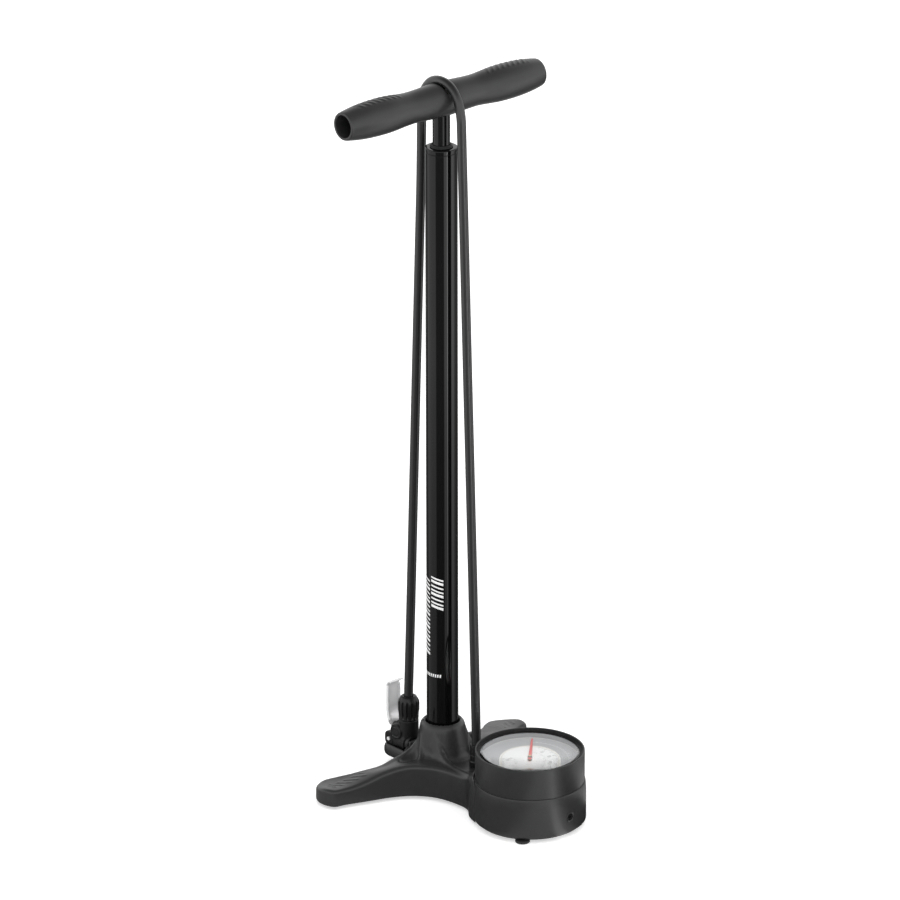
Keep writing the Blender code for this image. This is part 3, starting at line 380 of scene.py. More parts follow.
# ---------------------------------------------------------------- distance fields
class Field:
    """Points on a grid in metres and the skin of a distance sampled there."""

    def __init__(self, lowest, highest, cell):
        self.origin = np.array(lowest, float)
        self.cell = cell
        count = np.ceil((np.array(highest) - self.origin) / cell).astype(int) + 1
        self.axes = [self.origin[i] + cell * np.arange(count[i]) for i in range(3)]
        self.x, self.y, self.z = np.meshgrid(*self.axes, indexing="ij", sparse=True)

    def skin(self, name, value):
        """A quad mesh on the level where the distance is zero, negative inside."""
        value = value.astype(np.float32)
        inside = value < 0
        size = inside.shape
        nx, ny, nz = (n - 1 for n in size)
        count = sum(inside[i : i + nx, j : j + ny, k : k + nz].astype(np.int8)
                    for i in (0, 1) for j in (0, 1) for k in (0, 1))
        cells = np.argwhere((count > 0) & (count < 8))
        index = np.full(count.shape, -1, np.int32)
        index[tuple(cells.T)] = np.arange(len(cells))
        total, hits = np.zeros((len(cells), 3)), np.zeros(len(cells))
        for axis in range(3):
            for i in (0, 1):
                for j in (0, 1):
                    start, end = (np.insert(np.array([i, j]), axis, side) for side in (0, 1))
                    a, b = (value[tuple((cells + corner).T)] for corner in (start, end))
                    crossed = (a < 0) != (b < 0)
                    t = np.where(crossed, a / np.where(crossed, a - b, 1.0), 0.0)
                    total += (start + (end - start) * t[:, None]) * crossed[:, None]
                    hits += crossed
        verts = self.origin + self.cell * (cells + total / hits[:, None])
        faces = []
        for axis in range(3):
            first = inside[tuple(slice(0 if i == axis else 1, n - 1) for i, n in enumerate(size))]
            second = inside[tuple(slice(1, n if i == axis else n - 1) for i, n in enumerate(size))]
            edges = np.argwhere(first != second)
            flip = first[tuple(edges.T)] ^ (axis == 1)
            at = edges + np.array([i != axis for i in range(3)])
            quad = []
            for back in ((1, 1), (0, 1), (0, 0), (1, 0)):
                quad.append(index[tuple((at - np.insert(np.array(back), axis, 0)).T)])
            quad = np.stack(quad, 1)
            quad[~flip] = quad[~flip][:, ::-1]
            faces.append(quad)
        mesh = bpy.data.meshes.new(name)
        mesh.from_pydata(verts.tolist(), [], np.concatenate(faces).tolist())
        mesh.update()
        return mesh


def smaller(a, b, ease):
    """Union of two distances with a fillet of about that size."""
    h = np.clip(0.5 + 0.5 * (b - a) / ease, 0, 1)
    return b + (a - b) * h - ease * h * (1 - h)


def larger(a, b, ease):
    return -smaller(-a, -b, ease)


def both(a, b, radius):
    """Where two distances overlap, its outside edge rounded to the radius."""
    a, b = a + radius, b + radius
    outside = np.sqrt(np.maximum(a, 0) ** 2 + np.maximum(b, 0) ** 2)
    return outside + np.minimum(np.maximum(a, b), 0) - radius


def without(solid, *walls):
    """The shape less the place where every given distance is negative."""
    hole = walls[0]
    for wall in walls[1:]:
        hole = np.maximum(hole, wall)
    return np.maximum(solid, -hole)


def smoothstep(value, start, end):
    t = np.clip((value - start) / (end - start), 0, 1)
    return t * t * (3 - 2 * t)


def window(value, start, end, ease):
    """One between start and end, nought outside, eased inwards."""
    return smoothstep(value, start, start + ease) * smoothstep(-value, -end, ease - end)


def along(points, x, y, z):
    """Distance to a rope of (x, y, z, radius) points whose radius tapers between them."""
    found = None
    for (ax, ay, az, ar), (bx, by, bz, br) in zip(points, points[1:]):
        dx, dy, dz = bx - ax, by - ay, bz - az
        t = ((x - ax) * dx + (y - ay) * dy + (z - az) * dz) / (dx * dx + dy * dy + dz * dz)
        t = np.clip(t, 0, 1)
        gap = np.sqrt((x - ax - t * dx) ** 2 + (y - ay - t * dy) ** 2 + (z - az - t * dz) ** 2)
        gap = gap - (ar + (br - ar) * t)
        found = gap if found is None else np.minimum(found, gap)
    return found


def in_outline(outline, x, y):
    """Signed distance in plan to a closed outline, negative inside."""
    shape = np.broadcast(x, y).shape
    nearest, inside = np.full(shape, 1e9), np.zeros(shape, bool)
    for (ax, ay), (bx, by) in zip(outline, outline[1:] + outline[:1]):
        dx, dy = bx - ax, by - ay
        if dx * dx + dy * dy < 1e-14:
            continue
        t = np.clip(((x - ax) * dx + (y - ay) * dy) / (dx * dx + dy * dy), 0, 1)
        nearest = np.minimum(nearest, (x - ax - t * dx) ** 2 + (y - ay - t * dy) ** 2)
        crossing = (bx - ax) * (y - ay) / (by - ay if by != ay else 1e-12) + ax
        inside ^= ((ay > y) != (by > y)) & (x < crossing)
    return np.where(inside, -1, 1) * np.sqrt(nearest)


def smooth_through(points, per_span):
    """Points on a smooth curve through the given ones (a Catmull-Rom curve)."""
    points = [Vector(p) for p in points]
    ends = [2 * points[0] - points[1], *points, 2 * points[-1] - points[-2]]
    found = []
    for i in range(len(points) - 1):
        a, b, c, d = ends[i : i + 4]
        for step in range(per_span):
            t = step / per_span
            found.append(0.5 * (2 * b + (c - a) * t + (2 * a - 5 * b + 4 * c - d) * t**2
                                + (3 * b - a - 3 * c + d) * t**3))
    found.append(points[-1])
    return found


# ---------------------------------------------------------------- hose
# The hose's route seen from +X, as (distance from the barrel axis, height).
HOSE_ROUTE = mm([
    (-46.2, 40.8), (-46.2, 56), (-45.3, 90), (-41.8, 200), (-38.2, 307), (-34.6, 410),
    (-31.3, 508), (-28.5, 590), (-27.1, 630), (-26.2, 646), (-22.2, 660), (-13, 670.2),
    (0, 673.6), (13, 670.2), (22.2, 660), (26, 646), (26.4, 630), (27.6, 575), (30.5, 498),
    (34.7, 390), (39, 276), (43, 170), (46.1, 95), (47, 76), (47, 60),
])
HOSE_R = 0.0042
ARCH_Z = 0.64


def hose_line():
    return smooth_through([(0, BARREL_Y + y, z) for y, z in HOSE_ROUTE], 10)


def tube_mesh(name, line, radius, sides):
    """A closed tube round a line that lies in the plane x = 0."""
    shape = bmesh.new()
    rings = []
    for i, p in enumerate(line):
        heading = (line[min(i + 1, len(line) - 1)] - line[max(i - 1, 0)]).normalized()
        across = Vector((1, 0, 0))
        up = heading.cross(across)
        rings.append([
            shape.verts.new(p + radius * (math.cos(a) * across + math.sin(a) * up))
            for a in (2 * math.pi * k / sides for k in range(sides))
        ])
    loft(shape, rings)
    shape.faces.new(rings[0])
    shape.faces.new(rings[-1])
    return mesh_of(name, shape)


def hose():
    line = hose_line()
    length = sum((b - a).length for a, b in zip(line, line[1:]))
    mesh = tube_mesh("rubber_hose", line, HOSE_R, 40)
    tube = add("rubber_hose", mesh, "hose_rubber", None, "hose")
    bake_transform(tube)
    return tube, line, length


def hose_fitting():
    foot, top = span("hose_fitting")
    deck = 0.0307
    turned("hose_ferrule", [
        (0.0045, top, 0.0003), (0.0056, top, 0.0004), (0.0057, top - 0.0085, 0.0002),
        (0.0053, top - 0.0089, 0.0002), (0.0053, top - 0.0098, 0.0002),
        (0.0057, top - 0.0102, 0.0002), (0.0057, 0.0364, 0.0005), (0.0063, 0.0358, 0.0004),
        (0.0063, deck, 0.0004), (0.004, deck, 0), (0.004, foot, 0.0003), (0.0015, foot, 0),
        (0.0015, 0.0402, 0), (0.0045, 0.0402, 0),
    ], (0, FITTING_Y, 0), "satin_plastic", node="hose_fitting", steps=48)


# ---------------------------------------------------------------- base moulding
# Half of the base's plan, x below zero, seen from the barrel axis: from the back of the
# hub, out along the foot, round its tip and back along the concave front to the gauge.
HALF_PLAN = mm([
    (0, 34), (-18, 30), (-33, 21.5), (-54, 18.2), (-67, 25.2), (-77.6, 33.2), (-89.2, 43.4),
    (-100.8, 49.6), (-112, 46.2), (-119.2, 37.6), (-121.3, 27), (-117.2, 15.5), (-105.6, 12),
    (-85, 4.4), (-64.2, -3.2), (-46.4, -14.4), (-34.2, -32.2), (-29.6, -58.3), (-31.8, -71.7),
    (-38.8, -85.9), (-33, -110),
])
DECK_Z = 0.0304
# Height of the moulding's front top edge at distances from the middle.
FRONT_EDGE = mm([
    (0, 30.4), (14, 30.4), (20, 32.6), (30, 33), (46.4, 32.8), (55.3, 31.9), (64.2, 29.8),
    (74.6, 26.9), (85, 23.2), (95.3, 20.4), (105.6, 19.1), (122, 19),
])
# Where that edge lies and how far the foot reaches behind it, at the same distances.
FRONT_AT = mm([
    (30, -30), (46.4, -14.4), (64.2, -3.2), (85, 4.4), (105.6, 12), (115, 17.6),
])
FOOT_DEPTH = mm([
    (30, 50), (46.4, 34), (54, 29), (64.2, 26), (77.6, 32), (89.2, 37), (100.8, 40), (115, 30),
])
# The collar's radius at heights, from its root to its rim.
COLLAR = mm([
    (10, 28.6), (20, 27.6), (33, 25.8), (40.5, 23.8), (56, 20.8), (59.2, 19.9), (62.4, 17.6),
])
RIM_Z = 0.0624
# Ribs that run down from the collar, as (x, y from the barrel axis, top, half thickness).
FOOT_RIDGE = mm([
    (-17.5, 9, 53, 1.6), (-21.2, 12.5, 42.5, 1.8), (-27, 14.2, 36, 1.9), (-35, 15, 32.1, 2),
    (-45, 13.8, 30.4, 2.1), (-56, 14, 28, 2.3), (-68, 20, 22.8, 2.6), (-79, 29, 14, 2.8),
])
ARM_RIDGE = mm([
    (-16.5, -10.5, 54.5, 1.4), (-17.6, -15, 46.5, 1.6), (-18.3, -19.8, 40.5, 1.8),
    (-19.3, -26, 36.6, 2), (-20.5, -34, 34.8, 2.2), (-21.6, -42.5, 34.3, 2.3),
    (-22.8, -56, 35.1, 2.5), (-25, -69, 37, 2.8), (-30, -79, 39.2, 3.2), (-34.5, -86, 39.8, 3.4),
])
# The edge down the front of the collar, as (x, y from the barrel axis, z, radius).
HUB_EDGE = mm([
    (-19.6, 5.8, 50, 1.2), (-23.8, 3, 40, 1.4), (-27.6, -1, 33, 1.6), (-33, -6, 30, 1.8),
    (-39, -11, 29.6, 2),
])
EDGE_R = 0.0034          # rounding along the moulding's top edge
BASE_CELL = 0.00084
BAR_HEIGHT = 0.0005
SOCKET_R, SOCKET_Z = 0.0149, 0.022
COVER_WELL_R, COVER_WELL_Z = 0.0243, 0.0053
VALVE_WELL_R = 0.0068
ARM_TOP = 0.0425         # where the arm meets the cup


def rib(points, x, v, z):
    """Distance to a wall whose drafted sides stand under a line of listed points."""
    near, top, half = 1e9, 0.0, 0.0
    for (ax, av, az, ar), (bx, bv, bz, br) in zip(points, points[1:]):
        dx, dv = bx - ax, bv - av
        t = np.clip(((x - ax) * dx + (v - av) * dv) / (dx * dx + dv * dv), 0, 1)
        gap = np.hypot(x - ax - t * dx, v - av - t * dv)
        closer = gap < near
        near = np.where(closer, gap, near)
        top = np.where(closer, az + (bz - az) * t, top)
        half = np.where(closer, ar + (br - ar) * t, half)
    return both(near - half - 0.3 * np.clip(top - z, 0, 0.012), z - top, 0.0016)


def read_off(listed, distance):
    """A value at a distance, off a smooth curve through the listed ones."""
    line = smooth_through([(d, value, 0.0) for d, value in listed], 8)
    return np.interp(distance, [p.x for p in line], [p.y for p in line])


def base_height(x, v):
    """Height of the deck and the feet's tops, v counted from the barrel axis."""
    out = np.abs(x)
    top = read_off(FRONT_EDGE, out)
    behind = np.clip((v - read_off(FRONT_AT, out)) / read_off(FOOT_DEPTH, out), 0, 1)
    fall = 0.0024 + 0.0016 * smoothstep(out, 0.045, 0.062)
    top = top - fall * smoothstep(behind, 0.15, 1.0) * smoothstep(out, 0.014, 0.022)
    dish = np.exp(-(((out - 0.1) / 0.014) ** 2 + ((v - 0.027) / 0.011) ** 2))
    top = top - 0.0007 * dish
    panel = np.exp(-((((out - 0.036) / 0.01) ** 2 + ((v - 0.004) / 0.0062) ** 2) ** 2))
    top = top - 0.003 * panel
    near = smoothstep(-v, 0.06, 0.082) * smoothstep(out, 0.013, 0.024)
    return top + 0.0045 * near


def crests(number):
    """One about each whole number, nought between them."""
    return smoothstep(np.cos(2 * np.pi * number), 0.15, 0.55)


def foot_bars(x, v):
    """Low slanting grip bars on the feet's tops: one where a bar stands, else nought."""
    out = np.abs(x)
    number = ((out - 0.072) - 0.45 * (v - 0.025)) / 0.0062
    strip = window(v - 0.3 * (out - 0.076), 0.0125, 0.0265, 0.002)
    return crests(number) * window(out, 0.076, 0.113, 0.002) * strip


def base_moulding():
    lowest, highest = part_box("base_body")
    field = Field((lowest.x - 0.002, lowest.y - 0.02, PAD_T - 0.002),
                  (highest.x + 0.002, highest.y + 0.006, highest.z + 0.002), BASE_CELL)
    x, v, z = field.x, field.y - BARREL_Y, field.z
    out = np.abs(x)
    half = [(p.x, p.y) for p in smooth_through([(*p, 0.0) for p in HALF_PLAN], 5)]
    plan = in_outline(half + [(-a, b) for a, b in reversed(half[1:])], x, v)
    relief = base_height(x, v) + BAR_HEIGHT * foot_bars(x, v)
    solid = both(plan, z - relief, EDGE_R)
    solid = both(solid, PAD_T - z, 0.0008)
    radius = np.hypot(x, v)
    heights, radii = zip(*COLLAR)
    collar = (radius - np.interp(z, heights, radii)) * 0.97
    collar = both(collar, z - RIM_Z, 0.0012)
    solid = smaller(solid, np.maximum(collar, 0.006 - z), 0.006)
    solid = smaller(solid, along(HUB_EDGE, -out, v, z), 0.0026)
    for ridge in (FOOT_RIDGE, ARM_RIDGE):
        solid = smaller(solid, rib(ridge, -out, v, z), 0.003)
    solid = larger(solid, plan - 0.0002, 0.0008)
    solid = np.maximum(solid, PAD_T - z)
    # The socket the barrel stands in, flared at its rim, and the wells below it.
    socket = SOCKET_R + 0.7 * np.clip(z - (RIM_Z - 0.0022), 0, 0.004)
    solid = without(solid, both(radius - socket, SOCKET_Z - z, 0.0003))
    solid = without(solid, radius - COVER_WELL_R, z - COVER_WELL_Z)
    solid = without(solid, radius - VALVE_WELL_R, z - 0.03)
    # The arm runs on to the gauge's cup with a wide fillet and leaves the cup's room free.
    cup = np.hypot(x, field.y - GAUGE_Y)
    solid = smaller(solid, np.maximum(cup - CUP_R + 0.0006, z - ARM_TOP), 0.012)
    solid = np.maximum(solid, PAD_T - z)
    solid = np.maximum(solid, CUP_R - 0.0004 - cup)
    # The seat and bore of the hose's ferrule.
    seat = np.hypot(x, field.y - FITTING_Y)
    solid = without(solid, seat - 0.007, DECK_Z + 0.0002 - z)
    solid = without(solid, seat - 0.0043, 0.011 - z)
    # Holes for the foot pads' stems and hollows under the feet.
    pads = np.hypot(out - high("right_foot_pad").x + 0.0095, v - 0.029)
    solid = without(solid, pads - 0.0043, z - 0.0076)
    pocket = along([(0.046, 0.006, 0, 0.0065), (0.084, 0.0185, 0, 0.0065)], out, v, 0 * z)
    solid = without(solid, both(pocket, z - 0.01, 0.0015))
    mesh = field.skin("base_moulding", solid)
    add("base_moulding", mesh, "moulded_composite", "base", "base_body", sharp=70.0, calm=3)


# ---------------------------------------------------------------- barrel, cap and rod
def barrel():
    foot, top = span("barrel")
    at = (0, BARREL_Y, 0)
    turned("barrel_tube", [
        (BARREL_R, top, 0.0003), (BARREL_R, foot, 0.0003), (0.013, foot, 0.0003),
        (0.013, top, 0.0003),
    ], at, "gloss_paint", node="barrel", steps=128)
    foot, top = span("barrel_cap")
    seam = foot + 0.011
    turned("barrel_end_cap", [
        (0.0083, top - 0.0002, 0.0002), (0.01, top, 0.0003), (0.0146, top, 0.0009),
        (0.0146, seam, 0.0003), (0.0127, seam, 0), (0.0127, foot, 0.0003), (0.0083, foot, 0.0003),
    ], at, "gloss_paint", node="barrel_cap", steps=128)
    foot, top = span("rod_wiper")
    turned("rod_wiper_lip", [
        (0.0082, top, 0), (0.0089, top, 0.0002), (0.0094, top - 0.0008, 0.0003),
        (0.0104, foot + 0.0008, 0.0003), (0.0104, foot, 0.0001), (0.0082, foot, 0.0001),
    ], at, "dull_rubber", node="rod_wiper", steps=96)
    foot, top = span("piston_rod")
    turned("piston_rod_tube", [
        (ROD_R, top, 0.0003), (ROD_R, foot, 0.0003), (0.0064, foot, 0.0002),
        (0.0064, top, 0.0002),
    ], at, "rod_coating", "rod", "piston_rod", steps=96)


PRINT_DEG = 228.0        # the way the printed side of the barrel faces, from +X
# Columns of bars as (first arc length, width, how many, spacing, lowest height).
PRINT_COLUMNS = [(-0.0108, 0.012, 8, 0.004, 0.1745), (-0.0222, 0.0096, 18, 0.0042, 0.129)]
BAR_RISE = 0.0032
TICK_LOW, TICK_TOP = 0.1085, 0.1115


def barrel_print():
    """Plain slanting bars printed up the barrel in two columns, a short row of ticks below."""
    shape = bmesh.new()
    radius = BARREL_R + 0.00004

    def patch(a, b, c, d):
        """A quad bent round the barrel, its corners as (arc length, height)."""
        rows = []
        for k in range(9):
            row = []
            for (arc, z), (last_arc, last_z) in ((a, b), (d, c)):
                angle = math.radians(PRINT_DEG) + (arc + (last_arc - arc) * k / 8) / BARREL_R
                row.append(shape.verts.new((radius * math.cos(angle),
                                            BARREL_Y + radius * math.sin(angle),
                                            z + (last_z - z) * k / 8)))
            rows.append(row)
        for (a, b), (c, d) in zip(rows, rows[1:]):
            shape.faces.new((a, c, d, b))

    for first, wide, count, spacing, lowest in PRINT_COLUMNS:
        for i in range(count):
            z = lowest + spacing * i
            thick = 0.0015 if i % 3 else 0.0024
            patch((first, z + BAR_RISE), (first + wide, z), (first + wide, z + thick),
                  (first, z + BAR_RISE + thick))
    for i in range(9):
        first = -0.021 + 0.0023 * i
        patch((first, TICK_LOW), (first + 0.0013, TICK_LOW), (first + 0.0016, TICK_TOP),
              (first + 0.0003, TICK_TOP))
    printed("barrel_print", shape, "white_print", keep_side=True)


# ---------------------------------------------------------------- handle
# Handle radius at distances from its middle, from the middle out to the end.
GRIP = mm([
    (0, 15.8), (12, 15.4), (26, 14.6), (38, 14.3), (50, 15.1), (62, 16.1), (73, 16.4), (86, 16.1),
    (98, 15.2), (108, 13.8), (114.4, 12.6),
])
BOLT_SEAT_Z = 0.6607


def handle():
    r = max(r for d, r in GRIP)
    field = Field((-HANDLE_HALF - 0.002, BARREL_Y - r - 0.002, HANDLE_Z - r - 0.002),
                  (HANDLE_HALF + 0.002, BARREL_Y + r + 0.002, HANDLE_Z + r + 0.002), 0.0007)
    x, v, h = field.x, field.y - BARREL_Y, field.z - HANDLE_Z
    out = np.abs(x)
    radius = np.hypot(v, h)
    wall = radius - read_off(GRIP, out) - 0.00045 * handle_bars(out, v, h)
    solid = both(wall, out - HANDLE_HALF, 0.0009)
    solid = larger(solid, -both(radius - 0.0102, 0.03 - out, 0.0006), 0.0004)   # the hollow ends
    arch = [(0.0, y, z - HANDLE_Z, HOSE_R + 0.0012) for y, z in
            ((p.y - BARREL_Y, p.z) for p in hose_line()) if z > ARCH_Z - 0.01][::3]
    solid = larger(solid, -along(arch, x, v, h), 0.001)
    groove_z = high("hose").z - 2 * HOSE_R - 0.0004 + 0.0066 - HANDLE_Z
    solid = larger(solid, 0.0066 - np.hypot(x, h - groove_z), 0.0012)
    axis = np.hypot(x, v)
    # The holes for the rod, the bolt and the bolt's head.
    solid = without(solid, axis - 0.0082, field.z - high("piston_rod").z - 0.0003)
    solid = without(solid, axis - 0.0033)
    solid = without(solid, axis - 0.005, BOLT_SEAT_Z - field.z)
    mesh = field.skin("grip_moulding", solid)
    add("grip_moulding", mesh, "moulded_composite", "rod", "handle", sharp=70.0, calm=3)


def handle_bars(out, v, h):
    """Low slanting bars on top of each grip: one where a bar stands, else nought."""
    number = (out - 0.5 * v) / 0.006
    top = smoothstep(h, 0.0115, 0.013) * smoothstep(-np.abs(v), -0.0064, -0.005)
    return crests(number) * window(out, 0.05, 0.1, 0.002) * top


# ---------------------------------------------------------------- gauge
SEAM_Z = 0.042          # where the bezel meets the cup


def gauge_shell():
    at = (0, GAUGE_Y, 0)
    foot, top = low("gauge_housing").z, SEAM_Z
    shape = turned_mesh("gauge_cup", [
        (0, foot + 0.003, 0), (0.0479, foot + 0.003, 0.001), (0.0479, top, 0.0002),
        (BEZEL_R + 0.0005, top, 0.0002), (BEZEL_R + 0.0009, top - 0.002, 0),
        (CUP_R, 0.034, 0.002), (CUP_R, 0.0245, 0), (CUP_R, 0.0155, 0), (CUP_R, 0.01, 0),
        (CUP_R, 0.0052, 0.001), (CUP_R - 0.003, 0.0052, 0.0002), (CUP_R - 0.003, foot, 0.0003),
        (0, foot, 0),
    ], at, steps=160, closed=False)
    cup = add("gauge_cup", shape, "moulded_composite", "base", "gauge_housing")
    front = Vector((0, GAUGE_Y - CUP_R, middle("bezel_set_screw").z))
    bore = linked("cup_bore", turned_mesh("cup_bore", [
        (0.0, -0.004, 0.0), (0.0035, -0.004, 0.0), (0.0035, 0.006, 0.0), (0.0, 0.006, 0.0)],
        front, axis="Y", steps=32, closed=False))
    aside = Matrix.Rotation(math.radians(3.7), 4, "Z")
    aside = Matrix.Translation((0, GAUGE_Y, 0)) @ aside @ Matrix.Translation((0, -GAUGE_Y, 0))
    bore.data.transform(aside)
    cut_by(cup, bore)
    foot, top = span("gauge_bezel")
    top += 0.0008
    step = SEAM_Z + 0.0001
    turned("gauge_bezel_ring", [
        (BEZEL_R - 0.0012, top, 0.0004), (BEZEL_R, top, 0.0005), (BEZEL_R, step, 0.0003),
        (0.0475, step, 0.0002), (0.0475, foot, 0.0003), (0.0462, foot, 0.0003),
        (0.0462, 0.057, 0.0005), (0.0436, 0.0575, 0.0002), (0.0436, 0.0597, 0.0002),
        (0.0445, 0.0597, 0.0001), (0.0445, 0.0655, 0.0003), (0.0483, 0.0655, 0.0002),
    ], at, "moulded_composite", node="gauge_bezel", steps=160)
    foot, top = span("lens_gasket")
    turned("lens_gasket_ring", [
        (0.0482, top + 0.002, 0.0001), (0.0482, foot, 0.0002), (0.0455, foot, 0.0002),
        (0.0455, top, 0.0004), (0.0474, top, 0.0002), (0.0477, top + 0.002, 0.0001),
    ], at, "gasket_rubber", node="lens_gasket", steps=160)
    foot, top = span("gauge_lens")
    lens = turned("gauge_lens_disc", [
        (0, top, 0), (0.043, top, 0.001), (0.0452, top - 0.0008, 0.0004), (0.0452, foot, 0.0003),
        (0, foot, 0),
    ], at, "clear_lens_moulding", node="gauge_lens", steps=160, closed=False)
    lens.visible_shadow = False
    set_screw(front, aside)


def set_screw(front, aside):
    """The grub screw that locks the bezel, sunk in the cup's front, with a dark socket."""
    screw = turned("set_screw_turned", [
        (0, 0.0018, 0), (0.0016, 0.0018, 0), (0.0016, 0.0006, 0), (0.0018, 0.0004, 0),
        (0.0028, 0.0004, 0.0002), (0.0033, 0.0009, 0.0002), (0.0033, 0.0028, 0.0002),
        (0, 0.0028, 0),
    ], front, "blackened_steel", node="bezel_set_screw", axis="Y", steps=48, closed=False)
    screw.data.transform(aside)


def cut_by(obj, cutter):
    """Cuts a hole in a finished piece, then removes the cutter."""
    change = obj.modifiers.new("hole", "BOOLEAN")
    change.operation = "DIFFERENCE"
    change.solver = "EXACT"
    change.object = cutter
    mesh = baked(obj)
    obj.modifiers.remove(change)
    obj.data = mesh
    bpy.data.objects.remove(cutter)


SCALE_START_DEG = 45.0
SCALE_SWEEP_DEG = 270.0
SCALE_TOP = 160


def dial_angle(value):
    return math.radians(SCALE_START_DEG - SCALE_SWEEP_DEG * value / SCALE_TOP)


def on_dial(angle, radius, z):
    return Vector((radius * math.cos(angle), GAUGE_Y + radius * math.sin(angle), z))


def flat_ring(shape, inner, outer, z, start=0.0, sweep=2 * math.pi, steps=120):
    """A thin flat ring, or part of one, about the gauge's axis."""
    pairs = []
    for i in range(steps + 1):
        angle = start + sweep * i / steps
        pairs.append([shape.verts.new(on_dial(angle, r, z)) for r in (inner, outer)])
    for (a, b), (c, d) in zip(pairs, pairs[1:]):
        shape.faces.new((a, b, d, c))


def dial_mark(shape, angle, inner, outer, width, z):
    side = Vector((-math.sin(angle), math.cos(angle), 0)) * width / 2
    near, far = on_dial(angle, inner, z), on_dial(angle, outer, z)
    corners = (near - side, far - side, far + side, near + side)
    shape.faces.new([shape.verts.new(p) for p in corners])


def printed(name, shape, key, keep_side=False):
    """A printed layer, its faces out and thick enough to be a closed shape."""
    bmesh.ops.remove_doubles(shape, verts=shape.verts, dist=WELD / 2)
    for face in shape.faces:
        if face.normal.z < 0 and not keep_side:
            face.normal_flip()
    layer = add(name, mesh_of(name, shape, turn_out=False), key, "base")
    ink = layer.modifiers.new("ink", "SOLIDIFY")
    ink.thickness = 0.00004
    ink.offset = 1.0


def dial_numbers(z):
    """Round numbers along the scale, upright for someone standing behind the barrel."""
    joined = bmesh.new()
    for value in range(0, SCALE_TOP + 1, 20):
        text = bpy.data.curves.new("number", "FONT")
        text.body = str(value)
        text.size = 0.0042
        text.align_x, text.align_y = "CENTER", "CENTER"
        text.extrude = 0.00002
        obj = linked("number", text)
        obj.location = on_dial(dial_angle(value), 0.018, z)
        obj.rotation_euler = (0, 0, math.pi)
        mesh = baked(obj)
        mesh.transform(obj.matrix_world)
        joined.from_mesh(mesh)
        bpy.data.objects.remove(obj)
    bmesh.ops.remove_doubles(joined, verts=joined.verts, dist=WELD)
    mesh = mesh_of("dial_numbers", joined, turn_out=False)
    add("dial_numbers", mesh, "dial_print", "base")


def dial():
    at = (0, GAUGE_Y, 0)
    # The outer ring is coloured grey: painted shade on the white dial.
    turned("dial_outer_ring", [
        (0.0442, DIAL_TOP, 0.0001), (0.0442, DIAL_TOP - 0.0008, 0), (0.002, DIAL_TOP - 0.0008, 0),
        (0.002, DIAL_TOP - 0.0002, 0), (0.027, DIAL_TOP - 0.0002, 0), (0.0272, DIAL_TOP, 0),
    ], at, "dial_ring_painted_shade", node="gauge_dial", steps=144)
    turned("dial_wall", [
        (0.0439, 0.0656, 0.0002), (0.0444, 0.0656, 0.0001), (0.0444, DIAL_TOP, 0.0001),
        (0.0439, DIAL_TOP, 0.0001),
    ], at, "dial_wall_grey", slot="dial_white", steps=144)
    face = DIAL_TOP + 0.0003
    turned("dial_face", [
        (0.002, face, 0), (0.0269, face, 0.0002), (0.0269, DIAL_TOP - 0.0001, 0),
        (0.002, DIAL_TOP - 0.0001, 0),
    ], at, "dial_white", slot="dial_white", steps=144)
    print_z = face + 0.00003
    rings = bmesh.new()
    flat_ring(rings, 0.0252, 0.0255, print_z)
    flat_ring(rings, 0.0262, 0.0263, print_z)
    printed("dial_lines", rings, "dial_line")
    marks = bmesh.new()
    for value in range(0, SCALE_TOP + 1, 2):
        inner = 0.0212 if value % 20 == 0 else 0.0222 if value % 10 == 0 else 0.0232
        width = 0.0004 if value % 10 == 0 else 0.0002
        dial_mark(marks, dial_angle(value), inner, 0.0246, width, print_z)
    for value in range(0, 12):
        dial_mark(marks, dial_angle(value * 14.5), 0.0118, 0.0134, 0.0003, print_z)
    start = dial_angle(SCALE_TOP)
    outer = bmesh.new()
    for value in range(0, SCALE_TOP + 1, 4):
        reach = 0.0372 if value % 20 == 0 else 0.0358
        dial_mark(outer, dial_angle(value), 0.0345, reach, 0.0004, DIAL_TOP + 0.00003)
    flat_ring(outer, 0.034, 0.0342, DIAL_TOP + 0.00003, start, math.radians(SCALE_SWEEP_DEG))
    printed("dial_outer_marks", outer, "white_print")
    flat_ring(marks, 0.0134, 0.01355, print_z, start, math.radians(SCALE_SWEEP_DEG))
    printed("dial_marks", marks, "dial_print")
    dial_numbers(print_z)
    band = bmesh.new()
    flat_ring(band, 0.0436, 0.0441, DIAL_TOP + 0.00004)
    printed("dial_rim_line", band, "dial_white")


def needle():
    """The pointer with its tail and hub, pointing at nought."""
    low_z = low("gauge_needle").z
    outline = [(0.0395, 0.00025), (0.036, 0.0008), (0.004, 0.0015), (-0.0036, 0.0017)]
    outline = outline + [(x, -y) for x, y in reversed(outline)]
    shape = bmesh.new()
    floor = [shape.verts.new((x, y, 0.0)) for x, y in outline]
    lid = [shape.verts.new((x * 0.998, y * 0.75, 0.0005)) for x, y in outline]
    shape.faces.new(floor)
    shape.faces.new(lid)
    loft(shape, [floor, lid])
    turn = Matrix.Rotation(math.radians(SCALE_START_DEG), 4, "Z")
    turn = Matrix.Translation((0, GAUGE_Y, low_z)) @ turn
    bmesh.ops.transform(shape, matrix=turn, verts=shape.verts)
    add("needle_blade", mesh_of("needle_blade", shape), "pointer_red", "needle", "gauge_needle")
    turned("needle_hub", [
        (0, low_z + 0.0011, 0), (0.0016, low_z + 0.0011, 0.0004), (0.0022, low_z, 0.0002),
        (0, low_z, 0),
    ], (0, GAUGE_Y, 0), "blackened_steel", "needle", slot="pointer_red", steps=48, closed=False)


# ---------------------------------------------------------------- chuck and dock
NUT_FOOT = 0.0476


